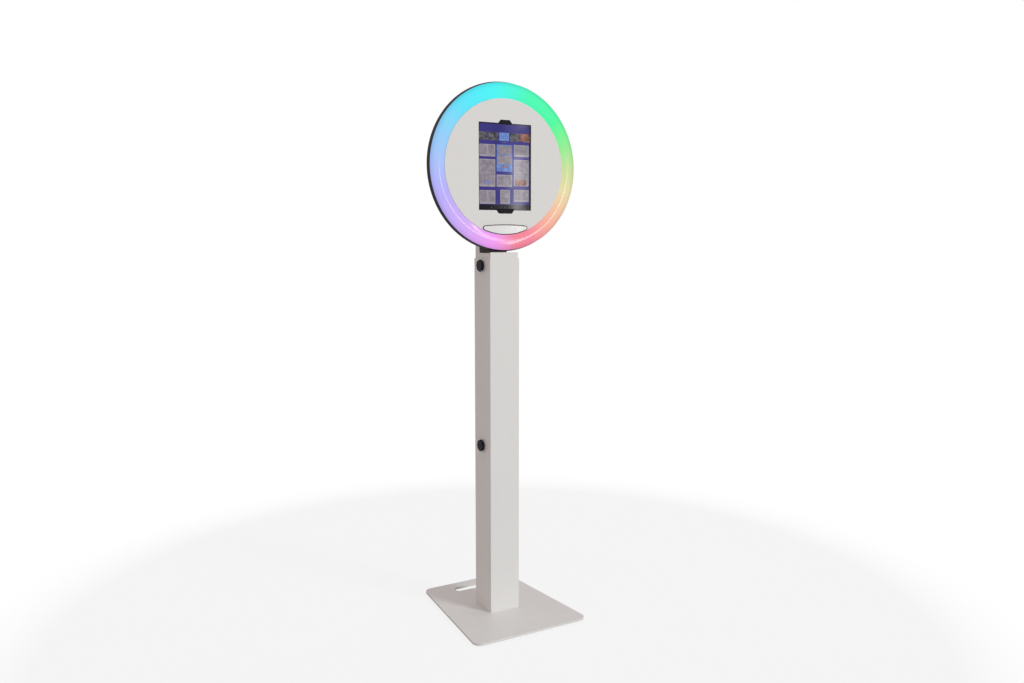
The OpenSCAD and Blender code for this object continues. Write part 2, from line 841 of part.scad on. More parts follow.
module jaw_guide() {
    color(black_plastic) head_space() difference() {
        translate([-jaw_w / 2 + 4, guide_bottom, pan_floor])
            cube([jaw_w - 8, guide_h, face_back - 0.4 - pan_floor]);
        for (side = [-1, 1]) {
            translate([side * pin_x, guide_bottom - past, pin_level]) rotate([-90, 0, 0])
                cylinder(r = pin_r, h = pin_seat + past);
            translate([side * pin_x, guide_bottom + guide_h / 2, pan_floor - past])
                cylinder(r = small_screw_r, h = 4 + past);
        }
    }
}

module guide_screws() {
    color(zinc) head_space() for (side = [-1, 1])
        translate([side * pin_x, guide_bottom + guide_h / 2, pan_back]) screw(small_screw_r, pan_t + 3.5);
}

// The badge follows the panel's edge below, bows slightly above and has round ends
module badge_outline(grow) {
    intersection() {
        circle(badge_r + grow);
        translate([0, -badge_top - badge_top_arc]) circle(badge_top_arc + grow, $fn = 360);
        translate([-badge_half, -head_r]) square([2 * badge_half, head_r]);
    }
    for (side = [-1, 1]) translate([side * badge_half, badge_end_y]) circle(badge_end_r + grow);
}

module badge_plate() {
    color(white_paint) head_space() slab(face_front, face_front + 1.4) badge_outline(0);
}

module badge_trim() {
    color([0.2, 0.15, 0.13]) head_space() slab(face_front, face_front + 1.2) difference() {
        badge_outline(trim_w);
        badge_outline(0.05);
    }
}

module led_controller() {
    boss_r = 2.6;
    color([0.15, 0.16, 0.18]) head_space() {
        slab(box_back, box_front) translate([0, (box_low + box_high) / 2])
            rounded_square(box_w, box_high - box_low, 4);
        for (i = [-1:1]) translate([-housing_w / 2 + wall + 5, button_y + i * button_pitch, mid_level])
            rotate([0, 90, 0]) cylinder(r = boss_r, h = (housing_w - box_w) / 2 - wall - 4);
    }
}

module controller_posts() {
    color(zinc) head_space() for (x = [-1, 1], y = [box_low + 8, box_high - 8])
        translate([x * (box_w / 2 - 8), y, box_front]) cylinder(r = 3, h = pan_back - box_front);
}

// A push button in the housing's side: a cap outside, and a stem that stops inside the wall
module push_button(i) {
    stem_l = button_proud + wall + button_travel + 0.5;
    color(black_plastic) head_space()
        translate([-housing_w / 2 - button_proud, button_y + i * button_pitch, mid_level])
            rotate([0, 90, 0]) {
                cylinder(r = button_r, h = stem_l);
                translate([0, 0, button_proud + wall + collar_gap]) cylinder(r = button_r + 1, h = collar_t);
            }
}

module mode_button() { push_button(0); }
module brighter_button() { push_button(1); }
module dimmer_button() { push_button(-1); }

module power_inlet() {
    low = -housing_h / 2;
    color(black_plastic) head_space() translate([inlet_x, low, mid_level]) rotate([-90, 0, 0]) difference() {
        union() {
            translate([0, 0, -inlet_flange_t]) cylinder(r = inlet_flange_r, h = inlet_flange_t);
            cylinder(r = inlet_r, h = inlet_l);
            translate([0, 0, wall + pin_fit]) cylinder(r = inlet_flange_r, h = 2.5, $fn = 6);
        }
        translate([0, 0, -inlet_flange_t - past])
            cylinder(r = jack_r, h = jack_depth + inlet_flange_t + past);
    }
}

module switch_frame() {
    well = 8;
    color(black_plastic) head_space() translate([switch_x, -housing_h / 2, mid_level]) rotate([90, 0, 0])
        difference() {
            union() {
                linear_extrude(switch_flange_t)
                    square([switch_w + 2 * switch_flange, switch_d + 2 * switch_flange], center = true);
                translate([0, 0, -switch_l]) linear_extrude(switch_l + past)
                    square([switch_w, switch_d], center = true);
            }
            translate([0, 0, -well]) linear_extrude(well + switch_flange_t + past)
                square([rocker_w + 2 * rocker_gap, rocker_d + 2 * rocker_gap], center = true);
        }
}

// The rocker turns on an axis along Y and rests with one end down
module power_rocker() {
    color([0.7, 0.1, 0.1]) head_space() translate([switch_x, rocker_axis, mid_level])
        rotate([0, 0, rocker_lean]) linear_extrude(rocker_d, center = true)
            polygon([[-rocker_w / 2 + 0.4, 0], [rocker_w / 2 - 0.4, 0], [rocker_w / 2 - 0.6, -4.2], [0, -3.2],
                [0.6 - rocker_w / 2, -4.2]]);
}

module lead_bend(points, r) {
    for (i = [0:len(points) - 2]) let (d = points[i + 1] - points[i], l = norm(d))
        translate(points[i]) rotate([0, acos(d[2] / l), atan2(d[1], d[0])]) cylinder(r = r, h = l);
    for (i = [1:len(points) - 2]) translate(points[i]) sphere(r);
}

// From the controller, through the pan's floor and behind the tray to the light ring's board
module led_lead() {
    behind_tray = pan_floor + 1.3;
    color([0.85, 0.85, 0.85]) head_space()
        lead_bend([[lead_x, box_low, mid_level], [lead_x, lead_hole_y, mid_level],
            [lead_x, lead_hole_y, behind_tray], [lead_x, -board_end_y, behind_tray]], lead_r);
}

module power_lead() {
    color([0.1, 0.1, 0.1]) head_space()
        lead_bend([[inlet_x, inlet_l - housing_h / 2, mid_level], [inlet_x, box_low, mid_level]], cable_r);
}

module switch_lead() {
    color([0.1, 0.1, 0.1]) head_space()
        lead_bend([[switch_x, switch_l - housing_h / 2, mid_level], [switch_x, box_low, mid_level]], cable_r);
}

base_plate();
rubber_feet();
foot_screws();
column_flange();
column_bolts();
lower_column();
lower_nut_plate();
lower_knob();
lower_stud();
upper_column();
column_spigot();
spigot_rivets();
upper_nut_plate();
upper_knob();
upper_stud();
neck_post();
spine_cover();
cover_screws();
tilt_bolts();
tilt_washers();
tilt_nuts();
head_bracket();
bracket_screws();
rear_pan();
rear_housing();
housing_screws();
led_board();
leds();
light_dam();
diffuser_ring();
face_panel();
face_standoffs();
face_screws();
tray_spacers();
tray_screws();
tablet_tray();
tablet_body();
tablet_glass();
lower_jaw();
upper_jaw();
jaw_springs();
guide_pins();
jaw_guide();
guide_screws();
badge_plate();
badge_trim();
led_controller();
controller_posts();
mode_button();
brighter_button();
dimmer_button();
power_inlet();
switch_frame();
power_rocker();
led_lead();
power_lead();
switch_lead();
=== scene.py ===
# %% [markdown]
# # A ring light photo booth
#
# The frame holds the booth's exact parts, already grouped into the bodies that move. This lesson dresses
# them: it gives each part its finish, and replaces the parts whose shape needs more than a hard edge.
# Everything is in metres, with +Z up and the screen facing -Y.

# %% Load the frame
import json
import math

import bmesh
import bpy
from mathutils import Matrix, Quaternion, Vector


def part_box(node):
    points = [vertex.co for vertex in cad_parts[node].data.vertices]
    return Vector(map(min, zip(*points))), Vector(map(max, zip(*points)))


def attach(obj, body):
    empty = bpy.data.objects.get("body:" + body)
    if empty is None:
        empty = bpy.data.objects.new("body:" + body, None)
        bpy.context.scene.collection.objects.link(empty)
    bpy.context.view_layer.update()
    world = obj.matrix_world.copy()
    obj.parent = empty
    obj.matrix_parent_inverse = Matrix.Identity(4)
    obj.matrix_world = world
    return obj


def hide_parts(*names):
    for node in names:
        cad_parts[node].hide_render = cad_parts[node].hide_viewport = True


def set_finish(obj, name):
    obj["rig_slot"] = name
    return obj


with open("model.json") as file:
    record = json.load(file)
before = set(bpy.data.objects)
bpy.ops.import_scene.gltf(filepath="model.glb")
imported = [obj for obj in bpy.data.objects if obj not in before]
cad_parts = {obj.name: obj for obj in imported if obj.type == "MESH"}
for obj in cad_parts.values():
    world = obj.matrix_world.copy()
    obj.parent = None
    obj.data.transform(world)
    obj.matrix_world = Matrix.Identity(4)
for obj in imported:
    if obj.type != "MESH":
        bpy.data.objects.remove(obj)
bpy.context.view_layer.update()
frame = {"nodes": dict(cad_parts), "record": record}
nodes = frame["nodes"]
body_of = {n: b for b, names in frame["record"]["behaviour"]["bodies"].items() for n in names}
slot_of = {part["node"]: part["material_slot"] for part in frame["record"]["subparts"]}

# %% [markdown]
# The camera comes early, because every later choice is judged through it. It stands at chest height, to the
# left of the booth's front, and looks slightly down. The lens is a short one, as in a small studio.

# %% Camera
EYE = Vector((-1.280, -2.318, 1.140))
TURN = math.radians(29.89)
DOWN = math.radians(6.75)
gaze = Vector((math.sin(TURN) * math.cos(DOWN), math.cos(TURN) * math.cos(DOWN), -math.sin(DOWN)))
camera = bpy.data.objects.new("camera", bpy.data.cameras.new("camera"))
camera.data.lens = 31.44
camera.data.sensor_width = 36
camera.data.clip_start = 0.05
camera.location = EYE
camera.rotation_mode = "QUATERNION"
camera.rotation_quaternion = gaze.to_track_quat("-Z", "Y")
bpy.context.scene.collection.objects.link(camera)
bpy.context.scene.camera = camera
print("camera", tuple(EYE), "lens", camera.data.lens)

# %% [markdown]
# The pieces need a few measures of the frame. The head is round, so the pan's box gives its centre and its
# radius. Depths on the head are counted forwards, towards the viewer, so the helper turns a place on the
# head (right, up, forward) into a place in the frame.

# %% Measures of the head
MM = 0.001
pan_low, pan_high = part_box("rear_pan")
HEAD = (pan_low + pan_high) / 2
HEAD_R = (pan_high.z - pan_low.z) / 2
PAN_BACK = -pan_high.y
RIM_FRONT = -pan_low.y
face_low, face_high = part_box("face_panel")
FACE_R = (face_high.x - face_low.x) / 2
FACE_FRONT, FACE_BACK = -face_low.y, -face_high.y


def on_head(right, up, forward):
    return Vector((HEAD.x + right, -forward, HEAD.z + up))


print("head centre", tuple(HEAD), "radius", round(HEAD_R, 4))

# %% [markdown]
# Every piece is a mesh that rides on a body, stands for a node and takes its finish from a slot. One helper
# does that for all of them. It also marks edges sharper than a set angle, so that flat faces stay flat
# while rounded ones shade smoothly, and evens out the normals beside small bevels.

# %% From a bmesh to a piece
SHARP = math.radians(35)
pieces = {}


def to_object(mesh, name):
    data = bpy.data.meshes.new(name)
    mesh.to_mesh(data)
    mesh.free()
    thing = bpy.data.objects.new(name, data)
    bpy.context.scene.collection.objects.link(thing)
    return thing


def finish_piece(mesh, name, node, extra=(), smooth=SHARP):
    piece = to_object(mesh, name)
    piece.data.shade_smooth()
    piece.data.set_sharp_from_angle(angle=smooth)
    even = piece.modifiers.new("even normals", "WEIGHTED_NORMAL")
    even.keep_sharp = True
    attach(piece, body_of[node])
    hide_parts(node, *extra)
    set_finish(piece, slot_of[node])
    pieces[name] = piece
    return piece


# %% [markdown]
# Folded and welded sheet metal has no razor edges: the press, the file and the thick powder coat leave a
# small radius, and that radius is what catches the light. The frame's parts are exact but sharp. This
# helper copies one, merges the triangles of each flat face, and bevels only the real corners. The bevel
# cuts inwards, so the part keeps its size. The bevel's own faces are marked with an attribute, and the
# finishes read it later: on most of them it is edge wear, where handling thins the paint; on the white paint
# and the badge it is a painted highlight, a lighter colour along the edges where light catches them.

# %% Ease the edges of a part
WELD = 0.004 * MM
FLAT = math.radians(0.5)
CORNER = math.radians(32)
EASE_STEPS, EASE_SHAPE = 2, 0.6
EASED_MM = {
    "base_plate": 0.8, "neck_post": 0.35, "lower_column": 0.3, "upper_column": 0.3, "spine_cover": 0.3,
    "head_bracket": 0.5, "rear_housing": 0.6, "tablet_tray": 0.25, "tablet_body": 1.2, "tablet_glass": 0.15,
    "upper_jaw": 0.3, "lower_jaw": 0.3, "jaw_guide": 0.4, "badge_plate": 0.4, "badge_trim": 0.3,
    "switch_frame": 0.4, "power_rocker": 0.5, "column_flange": 0.5, "led_controller": 0.8,
    "power_inlet": 0.4, "mode_button": 0.5, "brighter_button": 0.5, "dimmer_button": 0.5,
    "lower_nut_plate": 0.5, "upper_nut_plate": 0.5, "tilt_nuts": 0.4}


def welded(node):
    """A copy of a part's mesh in which triangles that touch share their corners."""
    mesh = bmesh.new()
    mesh.from_mesh(nodes[node].data)
    bmesh.ops.remove_doubles(mesh, verts=mesh.verts, dist=WELD)
    return mesh


def ease(node, width):
    mesh = welded(node)
    bmesh.ops.dissolve_limit(mesh, angle_limit=FLAT, verts=mesh.verts, edges=mesh.edges)
    corners = [e for e in mesh.edges if e.is_manifold and e.calc_face_angle() > CORNER]
    made = bmesh.ops.bevel(mesh, geom=corners, offset=width, offset_type="OFFSET", segments=EASE_STEPS,
                           profile=EASE_SHAPE, affect="EDGES", clamp_overlap=True)
    # The bevel faces get a mark that the finishes read as edge wear, and on the white ones as a painted
    # highlight.
    bevel_mark = mesh.loops.layers.float.new("bevel_mark")
    for face in made["faces"]:
        for loop in face.loops:
            loop[bevel_mark] = 1.0
    return finish_piece(mesh, "eased_" + node, node)


for part, width in EASED_MM.items():
    eased = ease(part, width * MM)
    print(eased.name, len(eased.data.polygons), "faces")

# %% [markdown]
# Round parts are spun from a profile, like pottery. A profile is a list of (radius, height) points. The
# lathe joins each ring of points to the next with quads, closes the shape, and writes a UV map that runs
# once around (u) and once along the profile (v), which the light ring's colours use later.

# %% Lathe
POINT = 1e-7


def ring_of(mesh, centre, side, up, turns, radius):
    """New points around a centre. radius is a length, or a function of the angle."""
    ring = []
    for i in range(turns):
        angle = math.tau * i / turns
        r = radius(angle) if callable(radius) else radius
        ring.append(mesh.verts.new(centre + r * (side * math.cos(angle) + up * math.sin(angle))))
    return ring


def join_rings(mesh, rings, turns):
    """Quads from each ring to the next. Beside a ring of one point they become triangles."""
    for low, high in zip(rings, rings[1:]):
        for i in range(turns):
            k = (i + 1) % turns
            loop = [low[i % len(low)], low[k % len(low)], high[k % len(high)], high[i % len(high)]]
            loop = list(dict.fromkeys(loop))
            if len(loop) > 2:
                mesh.faces.new(loop)


def spin(profile, place, right, up, out, turns=96, closed=True):
    """Quads around an axis. place is the centre; right and up span the circle and out is the axis."""
    mesh = bmesh.new()
    around = mesh.loops.layers.uv.new("around")
    rings = []
    for radius, height in profile:
        rings.append(ring_of(mesh, place + out * height, right, up, turns if radius > POINT else 1, radius))
    pairs = list(zip(rings, rings[1:] + rings[:1]))
    if not closed:
        pairs = pairs[:-1]
    for row, (low, high) in enumerate(pairs):
        for i in range(turns):
            k = (i + 1) % turns
            if len(low) == 1 and len(high) == 1:
                continue
            if len(low) == 1:
                corners, across = [low[0], high[k], high[i]], [(i + 0.5, 0), (i + 1, 1), (i, 1)]
            elif len(high) == 1:
                corners, across = [low[i], low[k], high[0]], [(i, 0), (i + 1, 0), (i + 0.5, 1)]
            else:
                corners = [low[i], low[k], high[k], high[i]]
                across = [(i, 0), (i + 1, 0), (i + 1, 1), (i, 1)]
            face = mesh.faces.new(corners)
            for loop, (u, v) in zip(face.loops, across):
                loop[around].uv = (u / turns, (row + v) / len(pairs))
    bmesh.ops.recalc_face_normals(mesh, faces=mesh.faces)
    return mesh


X, Y, Z = Vector((1, 0, 0)), Vector((0, 1, 0)), Vector((0, 0, 1))
FRONT = -Y


def arc(centre, radius, start, stop, steps):
    """Points along an arc, in degrees, as (across, along)."""
    sweep = [math.radians(start + (stop - start) * i / steps) for i in range(steps + 1)]
    return [(centre[0] + radius * math.cos(a), centre[1] + radius * math.sin(a)) for a in sweep]


# %% [markdown]
# The light ring is a milky plastic arch, and the pan behind it is spun from sheet steel. The pan's side leans
# in a little towards the front, so the ring is smaller than the pan's back, and from the side the pan shows
# as a black band. Its lip is rolled round, and its back edge has the larger radius that spinning leaves.

# %% Rear pan
RING_TURNS = 288
WALL = 1.5 * MM
RIM_R = HEAD_R - 4 * MM
FLOOR_FRONT = PAN_BACK + WALL
FLAT_R = HEAD_R * 0.55
BACK_ROUND = 2.5 * MM
lip = arc((RIM_R - WALL / 2, RIM_FRONT - WALL / 2), WALL / 2, 0, 180, 8)
back_edge = arc((HEAD_R - BACK_ROUND, PAN_BACK + BACK_ROUND), BACK_ROUND, 270, 346, 6)
inner_edge = arc((HEAD_R - BACK_ROUND, PAN_BACK + BACK_ROUND), BACK_ROUND - WALL, 346, 270, 4)
profile = [(0, PAN_BACK), (FLAT_R, PAN_BACK)] + back_edge + lip + inner_edge
profile += [(FLAT_R, FLOOR_FRONT), (0, FLOOR_FRONT)]
finish_piece(spin(profile, on_head(0, 0, 0), X, Z, FRONT, RING_TURNS, closed=False), "spun_pan", "rear_pan")

# %% [markdown]
# The ring itself is a shallow tyre: it rises from the white disc, is highest half-way across, and falls to
# the rim, whose lip it just covers. An arc through those three places gives its outside, a smaller one gives
# its inside, and the lathe spins them finely enough that the long highlight is unbroken.

# %% Diffuser ring
ring_low, ring_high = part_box("diffuser_ring")
RING_OUT = (ring_high.x - ring_low.x) / 2
RING_IN = FACE_R + 0.25 * MM
RING_CREST, RING_SEAT = -ring_low.y, -ring_high.y
RING_EDGE = RIM_FRONT + 0.6 * MM
LIP_OUT, LIP_BACK = RIM_R + 0.2 * MM, RIM_FRONT + 0.1 * MM
INNER_SKIRT = 6 * MM
SHELL = 2 * MM
ARCH_STEPS, INSIDE_STEPS = 28, 16


def arch(inner, outer, foot, top, steps):
    """A low arc from one radius to another, as (radius, height) points. Its ends are at foot."""
    half, rise = (outer - inner) / 2, top - foot
    radius = (half * half + rise * rise) / (2 * rise)
    spread = math.degrees(math.asin(half / radius))
    return arc(((inner + outer) / 2, top - radius), radius, 90 + spread, 90 - spread, steps)


outside = arch(RING_IN, LIP_OUT, RING_EDGE, RING_CREST, ARCH_STEPS)
inside = arch(RING_IN + SHELL, RING_OUT - SHELL, RING_EDGE - SHELL / 2, RING_CREST - SHELL, INSIDE_STEPS)
profile = outside + [(LIP_OUT, LIP_BACK), (RING_OUT, LIP_BACK), (RING_OUT, RING_SEAT)]
profile += [(RING_OUT - SHELL, RING_SEAT)] + inside[::-1]
profile += [(RING_IN + SHELL, RING_EDGE - INNER_SKIRT), (RING_IN, RING_EDGE - INNER_SKIRT)]
ARCH_SHARE = ARCH_STEPS / len(profile)
finish_piece(spin(profile, on_head(0, 0, 0), X, Z, FRONT, RING_TURNS), "light_ring", "diffuser_ring")
print("profile points", len(profile), "arch share", round(ARCH_SHARE, 3))

# %% [markdown]
# The white disc is laser-cut sheet with a window for the screen, and two notches where the clamp's jaws
# show. A flat outline with a hole in it is what Blender's 2D curves are made for: the curve is filled,
# extruded and bevelled in one step, and the bevel also runs round the window, where it shows as a thin
# bright line. The curve is then turned into a mesh.

# %% Face panel
WINDOW_W, WINDOW_H = 171.6 * MM, 245.2 * MM
NOTCH_H = 9.5 * MM
UPPER_FOOT, UPPER_TIP = 23 * MM, 15 * MM
LOWER_FOOT, LOWER_TIP = 29 * MM, 21.5 * MM
FACE_BEVEL = 0.45 * MM


def circle_points(radius, count):
    sweep = [math.tau * i / count for i in range(count)]
    return [(radius * math.cos(a), radius * math.sin(a)) for a in sweep]


def window_points():
    """The window with its two notches. Each notch has half widths at its foot and at its tip."""
    w, h = WINDOW_W / 2, WINDOW_H / 2
    upper = [(UPPER_FOOT, h), (UPPER_TIP, h + NOTCH_H)]
    lower = [(LOWER_FOOT, -h), (LOWER_TIP, -h - NOTCH_H)]
    right = [(w, -h), (w, h)]
    loop = right + upper + [(-x, y) for x, y in reversed(upper)]
    loop += [(-x, y) for x, y in reversed(right)] + [(-x, y) for x, y in lower]
    return loop + list(reversed(lower))


def cut_sheet(name, outlines, thickness, bevel):
    """A flat sheet from closed outlines; the first one is the edge and the others are holes."""
    curve = bpy.data.curves.new(name, "CURVE")
    curve.dimensions, curve.fill_mode = "2D", "BOTH"
    for outline in outlines:
        line = curve.splines.new("POLY")
        line.points.add(len(outline) - 1)
        for point, (x, y) in zip(line.points, outline):
            point.co = (x, y, 0, 1)
        line.use_cyclic_u = True
    curve.extrude = thickness / 2 - bevel
    curve.bevel_depth, curve.bevel_resolution, curve.offset = bevel, 2, -bevel
    shape = bpy.data.objects.new(name, curve)
    bpy.context.scene.collection.objects.link(shape)
    bpy.context.view_layer.update()
    data = bpy.data.meshes.new_from_object(shape.evaluated_get(bpy.context.evaluated_depsgraph_get()))
    bpy.data.objects.remove(shape)
    mesh = bmesh.new()
    mesh.from_mesh(data)
    bpy.data.meshes.remove(data)
    bmesh.ops.remove_doubles(mesh, verts=mesh.verts, dist=0.01 * MM)
    return mesh


def stand_up(mesh, forward):
    """Turns a sheet drawn flat so that it faces the viewer, with its middle at this depth on the head."""
    turn = Matrix.Translation(on_head(0, 0, forward)) @ Matrix.Rotation(math.radians(90), 4, "X")
    mesh.transform(turn)
    bmesh.ops.recalc_face_normals(mesh, faces=mesh.faces)
    return mesh


sheet_t = FACE_FRONT - FACE_BACK
panel = cut_sheet("panel", [circle_points(FACE_R, RING_TURNS), window_points()], sheet_t, FACE_BEVEL)
finish_piece(stand_up(panel, (FACE_FRONT + FACE_BACK) / 2), "white_disc", "face_panel")
print("panel", len(pieces["white_disc"].data.polygons), "faces")

# %% [markdown]
# The star knobs are moulded with eight soft lobes, so that a hand can turn them. A cosine gives the lobes
# and a profile gives the rounded rim and the slightly hollow top. The lobes fade out towards the middle,
# where a round cap hides the stud. Building the knob as rings of points lets one formula do all of that.

# %% Star knobs
LOBES = 8
LOBE_DIP = 0.06
KNOB_TURNS = LOBES * 14
KNOB_SMOOTH = math.radians(60)
SIDE = -X


def star_knob(name, node):
    low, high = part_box(node)
    centre = Vector((high.x, (low.y + high.y) / 2, (low.z + high.z) / 2))
    radius, tall = (high.z - low.z) / 2, high.x - low.x
    foot = 1.6 * MM
    shape = [(0, 0, 0), (0.58, 0, 0), (0.6, 0.02, 0), (0.6, foot / tall, 0), (0.8, foot / tall, 0.6),
             (0.93, foot / tall + 0.01, 1), (0.985, 0.24, 1), (1, 0.32, 1), (1, 0.8, 1), (0.985, 0.9, 1),
             (0.95, 0.96, 1), (0.89, 0.99, 0.9), (0.78, 1, 0.5), (0.66, 0.985, 0.2), (0.52, 0.95, 0),
             (0.42, 0.94, 0), (0.4, 0.955, 0), (0.37, 0.985, 0), (0.3, 0.995, 0), (0, 1, 0)]
    mesh = bmesh.new()
    rings = []
    for share, height, lobed in shape:
        def lobes(angle):
            return radius * share * (1 - LOBE_DIP * (1 - math.cos(LOBES * angle)) * lobed)
        rings.append(ring_of(mesh, centre + SIDE * tall * height, Y, Z, KNOB_TURNS if share else 1, lobes))
    join_rings(mesh, rings, KNOB_TURNS)
    bmesh.ops.recalc_face_normals(mesh, faces=mesh.faces)
    return finish_piece(mesh, name, node, smooth=KNOB_SMOOTH)


for level in ("lower", "upper"):
    print(star_knob(level + "_star", level + "_knob").name)

# %% [markdown]
# Screws are small, but the back of the booth is full of them, and a plain stub looks unfinished. Each node
# of screws is read island by island. The axis and the head's side are known, the island's own points give
# the radii and lengths, and a button head with a hexagon socket is built in its place. The socket's rings
# have as many points as the head's, so the whole screw is one clean sleeve of quads.

# %% Screws with hexagon sockets
SCREW_TURNS = 24
THREADS = 6
THREAD_DEPTH = 0.9
HEX_SHARE = 0.5
SOCKET_DEPTH = 0.62
DOME_SHARE = 0.35
SIXTH = math.tau / 6


def islands(node):
    mesh = welded(node)
    left, found = set(mesh.verts), []
    while left:
        group, queue = set(), [left.pop()]
        while queue:
            vert = queue.pop()
            group.add(vert)
            for edge in vert.link_edges:
                other = edge.other_vert(vert)
                if other in left:
                    left.discard(other)
                    queue.append(other)
        found.append([v.co.copy() for v in group])
    mesh.free()

    def lowest(points):
        return tuple(round(c, 5) for c in min(points, key=tuple))

    return sorted(found, key=lowest)


def frame_round(axis):
    side = Z if abs(axis.z) < 0.5 else X
    return side, axis.cross(side)


def socket_screw(mesh, points, tip, flat_head=False):
    """One screw whose tip points along tip. Its radii and lengths are those of the island's points."""
    side, up = frame_round(tip)
    centre = Vector([(min(p[i] for p in points) + max(p[i] for p in points)) / 2 for i in range(3)])
    along = [(p - centre).dot(tip) for p in points]
    start, stop = min(along), max(along)
    apart = [((p - centre) - tip * (p - centre).dot(tip)).length for p in points]
    head_r = max(apart)
    shank_r = max(a for a, t in zip(apart, along) if t > stop - 0.05 * MM)
    seat = max(t for a, t in zip(apart, along) if a > head_r * 0.97)
    tall = seat - start
    hexagon = head_r * HEX_SHARE
    dome = 0.0 if flat_head else DOME_SHARE

    def six_sided(angle):
        return hexagon * math.cos(SIXTH / 2) / math.cos(angle % SIXTH - SIXTH / 2)

    shape = [("hex", 0, SOCKET_DEPTH), ("hex", 1, SOCKET_DEPTH), ("hex", 1, 0.04),
             ("round", hexagon * 1.3, 0.0),
             ("round", head_r * 0.72, dome * 0.18), ("round", head_r * 0.9, dome * 0.55 + 0.02),
             ("round", head_r, dome + 0.12), ("round", head_r, 1.0), ("round", shank_r, 1.0)]
    rows = [(kind, size, start + tall * share) for kind, size, share in shape]
    for i in range(THREADS * 2):
        depth = seat + (stop - seat) * (0.3 + 0.65 * i / (THREADS * 2))
        rows.append(("round", shank_r * (1 if i % 2 else THREAD_DEPTH), depth))
    rows += [("round", shank_r * 0.8, stop), ("round", 0, stop)]
    rings = []
    for kind, size, t in rows:
        radius = six_sided if kind == "hex" else size
        rings.append(ring_of(mesh, centre + tip * t, side, up, SCREW_TURNS if size else 1, radius))
    join_rings(mesh, rings, SCREW_TURNS)


def screws(node, tip, flat_head=False):
    mesh = bmesh.new()
    groups = islands(node)
    for points in groups:
        direction = tip
        if tip is None:
            direction = X if sum(p.x for p in points) < 0 else -X
        socket_screw(mesh, points, direction, flat_head)
    bmesh.ops.recalc_face_normals(mesh, faces=mesh.faces)
    print(finish_piece(mesh, "fixed_" + node, node).name, len(groups))


for part in ("bracket_screws", "housing_screws", "face_screws", "tray_screws", "guide_screws"):
    screws(part, FRONT)
for part in ("foot_screws", "column_bolts"):
    screws(part, Z, flat_head=True)
for part in ("cover_screws", "tilt_bolts"):
    screws(part, None)

# %% [markdown]
# The four feet are moulded rubber: a slightly tapered disc with a rounded lower edge, two fine grooves that
# grip, and a recess for the screw's head. The rivets that hold the spigot have low domes. Both are spun.

# %% Feet and rivets


def spun_group(name, node, axis, profile_of, turns=48):
    whole = bmesh.new()
    side, up = frame_round(axis)
    for points in islands(node):
        low = Vector([min(p[i] for p in points) for i in range(3)])
        high = Vector([max(p[i] for p in points) for i in range(3)])
        centre = (low + high) / 2
        size = high - low
        tall = abs(size.dot(axis))
        radius = max(abs(size.dot(side)), abs(size.dot(up))) / 2
        one = spin(profile_of(radius, tall), centre - axis * tall / 2, side, up, axis, turns)
        data = bpy.data.meshes.new("part")
        one.to_mesh(data)
        one.free()
        whole.from_mesh(data)
        bpy.data.meshes.remove(data)
    finish_piece(whole, name, node)


def foot_profile(r, h):
    hole, recess, depth = 2.8 * MM, 4.9 * MM, 2.5 * MM
    groove = 0.3 * MM
    return [(recess, 0), (r * 0.5, 0), (r * 0.53, groove), (r * 0.56, 0), (r * 0.72, 0), (r * 0.75, groove),
            (r * 0.78, 0), (r - 0.8 * MM, 0), (r - 0.2 * MM, 0.3 * MM), (r, 1.0 * MM), (r * 0.97, h),
            (hole, h), (hole, depth), (recess, depth)]


def rivet_profile(r, h):
    head, shank = 1.5 * MM, 2.4 * MM
    sweep = [math.radians(a) for a in (0, 25, 50, 70, 90)]
    dome = [(r * math.sin(a), head * (1 - math.cos(a))) for a in sweep]
    return dome + [(shank, head), (shank, h), (0, h)]


spun_group("moulded_feet", "rubber_feet", Z, foot_profile)
spun_group("domed_rivets", "spigot_rivets", -Y, rivet_profile)
print("feet and rivets done")

# %% [markdown]
# The tablet's glass is black where nothing is lit. Its picture is a gallery of picture layouts, which is what
# such a booth shows while it waits. On a real tablet the picture lies under the glass; here it is a stack of
# very thin plates on top, and their finish has the glass's gloss. Each kind of plate is one mesh, so that
# each can glow in its own colour. Places are shares of the window: across from the left, down from the top.

# %% Plates on the screen
GLASS_FRONT = -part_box("tablet_glass")[0].y
PLATE_T, PLATE_GAP = 0.05 * MM, 0.02 * MM
PLATE_ROUND = 1.2 * MM
CORNER_STEPS = 5


def plate(mesh, left, right, top, bottom, layer, radius):
    """A thin plate with round corners, on the given layer above the glass."""
    w, h = (right - left) * WINDOW_W, (bottom - top) * WINDOW_H
    x, y = ((left + right) / 2 - 0.5) * WINDOW_W, (0.5 - (top + bottom) / 2) * WINDOW_H
    radius = min(radius, w / 2.01, h / 2.01)
    outline = []
    for start, sx, sy in ((0, 1, 1), (90, -1, 1), (180, -1, -1), (270, 1, -1)):
        centre = (x + sx * (w / 2 - radius), y + sy * (h / 2 - radius))
        outline += arc(centre, radius, start, start + 90, CORNER_STEPS)
    back = GLASS_FRONT + PLATE_T * (layer - 1) + PLATE_GAP
    front = GLASS_FRONT + PLATE_T * layer
    rings = [[mesh.verts.new(on_head(px, py, depth)) for px, py in outline] for depth in (back, front)]
    mesh.faces.new(rings[1])
    mesh.faces.new(list(reversed(rings[0])))
    for i in range(len(outline)):
        k = (i + 1) % len(outline)
        mesh.faces.new([rings[0][i], rings[0][k], rings[1][k], rings[1][i]])


def plates(name, places, layer, radius=PLATE_ROUND):
    mesh = bmesh.new()
    for left, right, top, bottom in places:
        plate(mesh, left, right, top, bottom, layer, radius)
    bmesh.ops.recalc_face_normals(mesh, faces=mesh.faces)
    finish_piece(mesh, name, "tablet_glass")
    print(name, len(places))


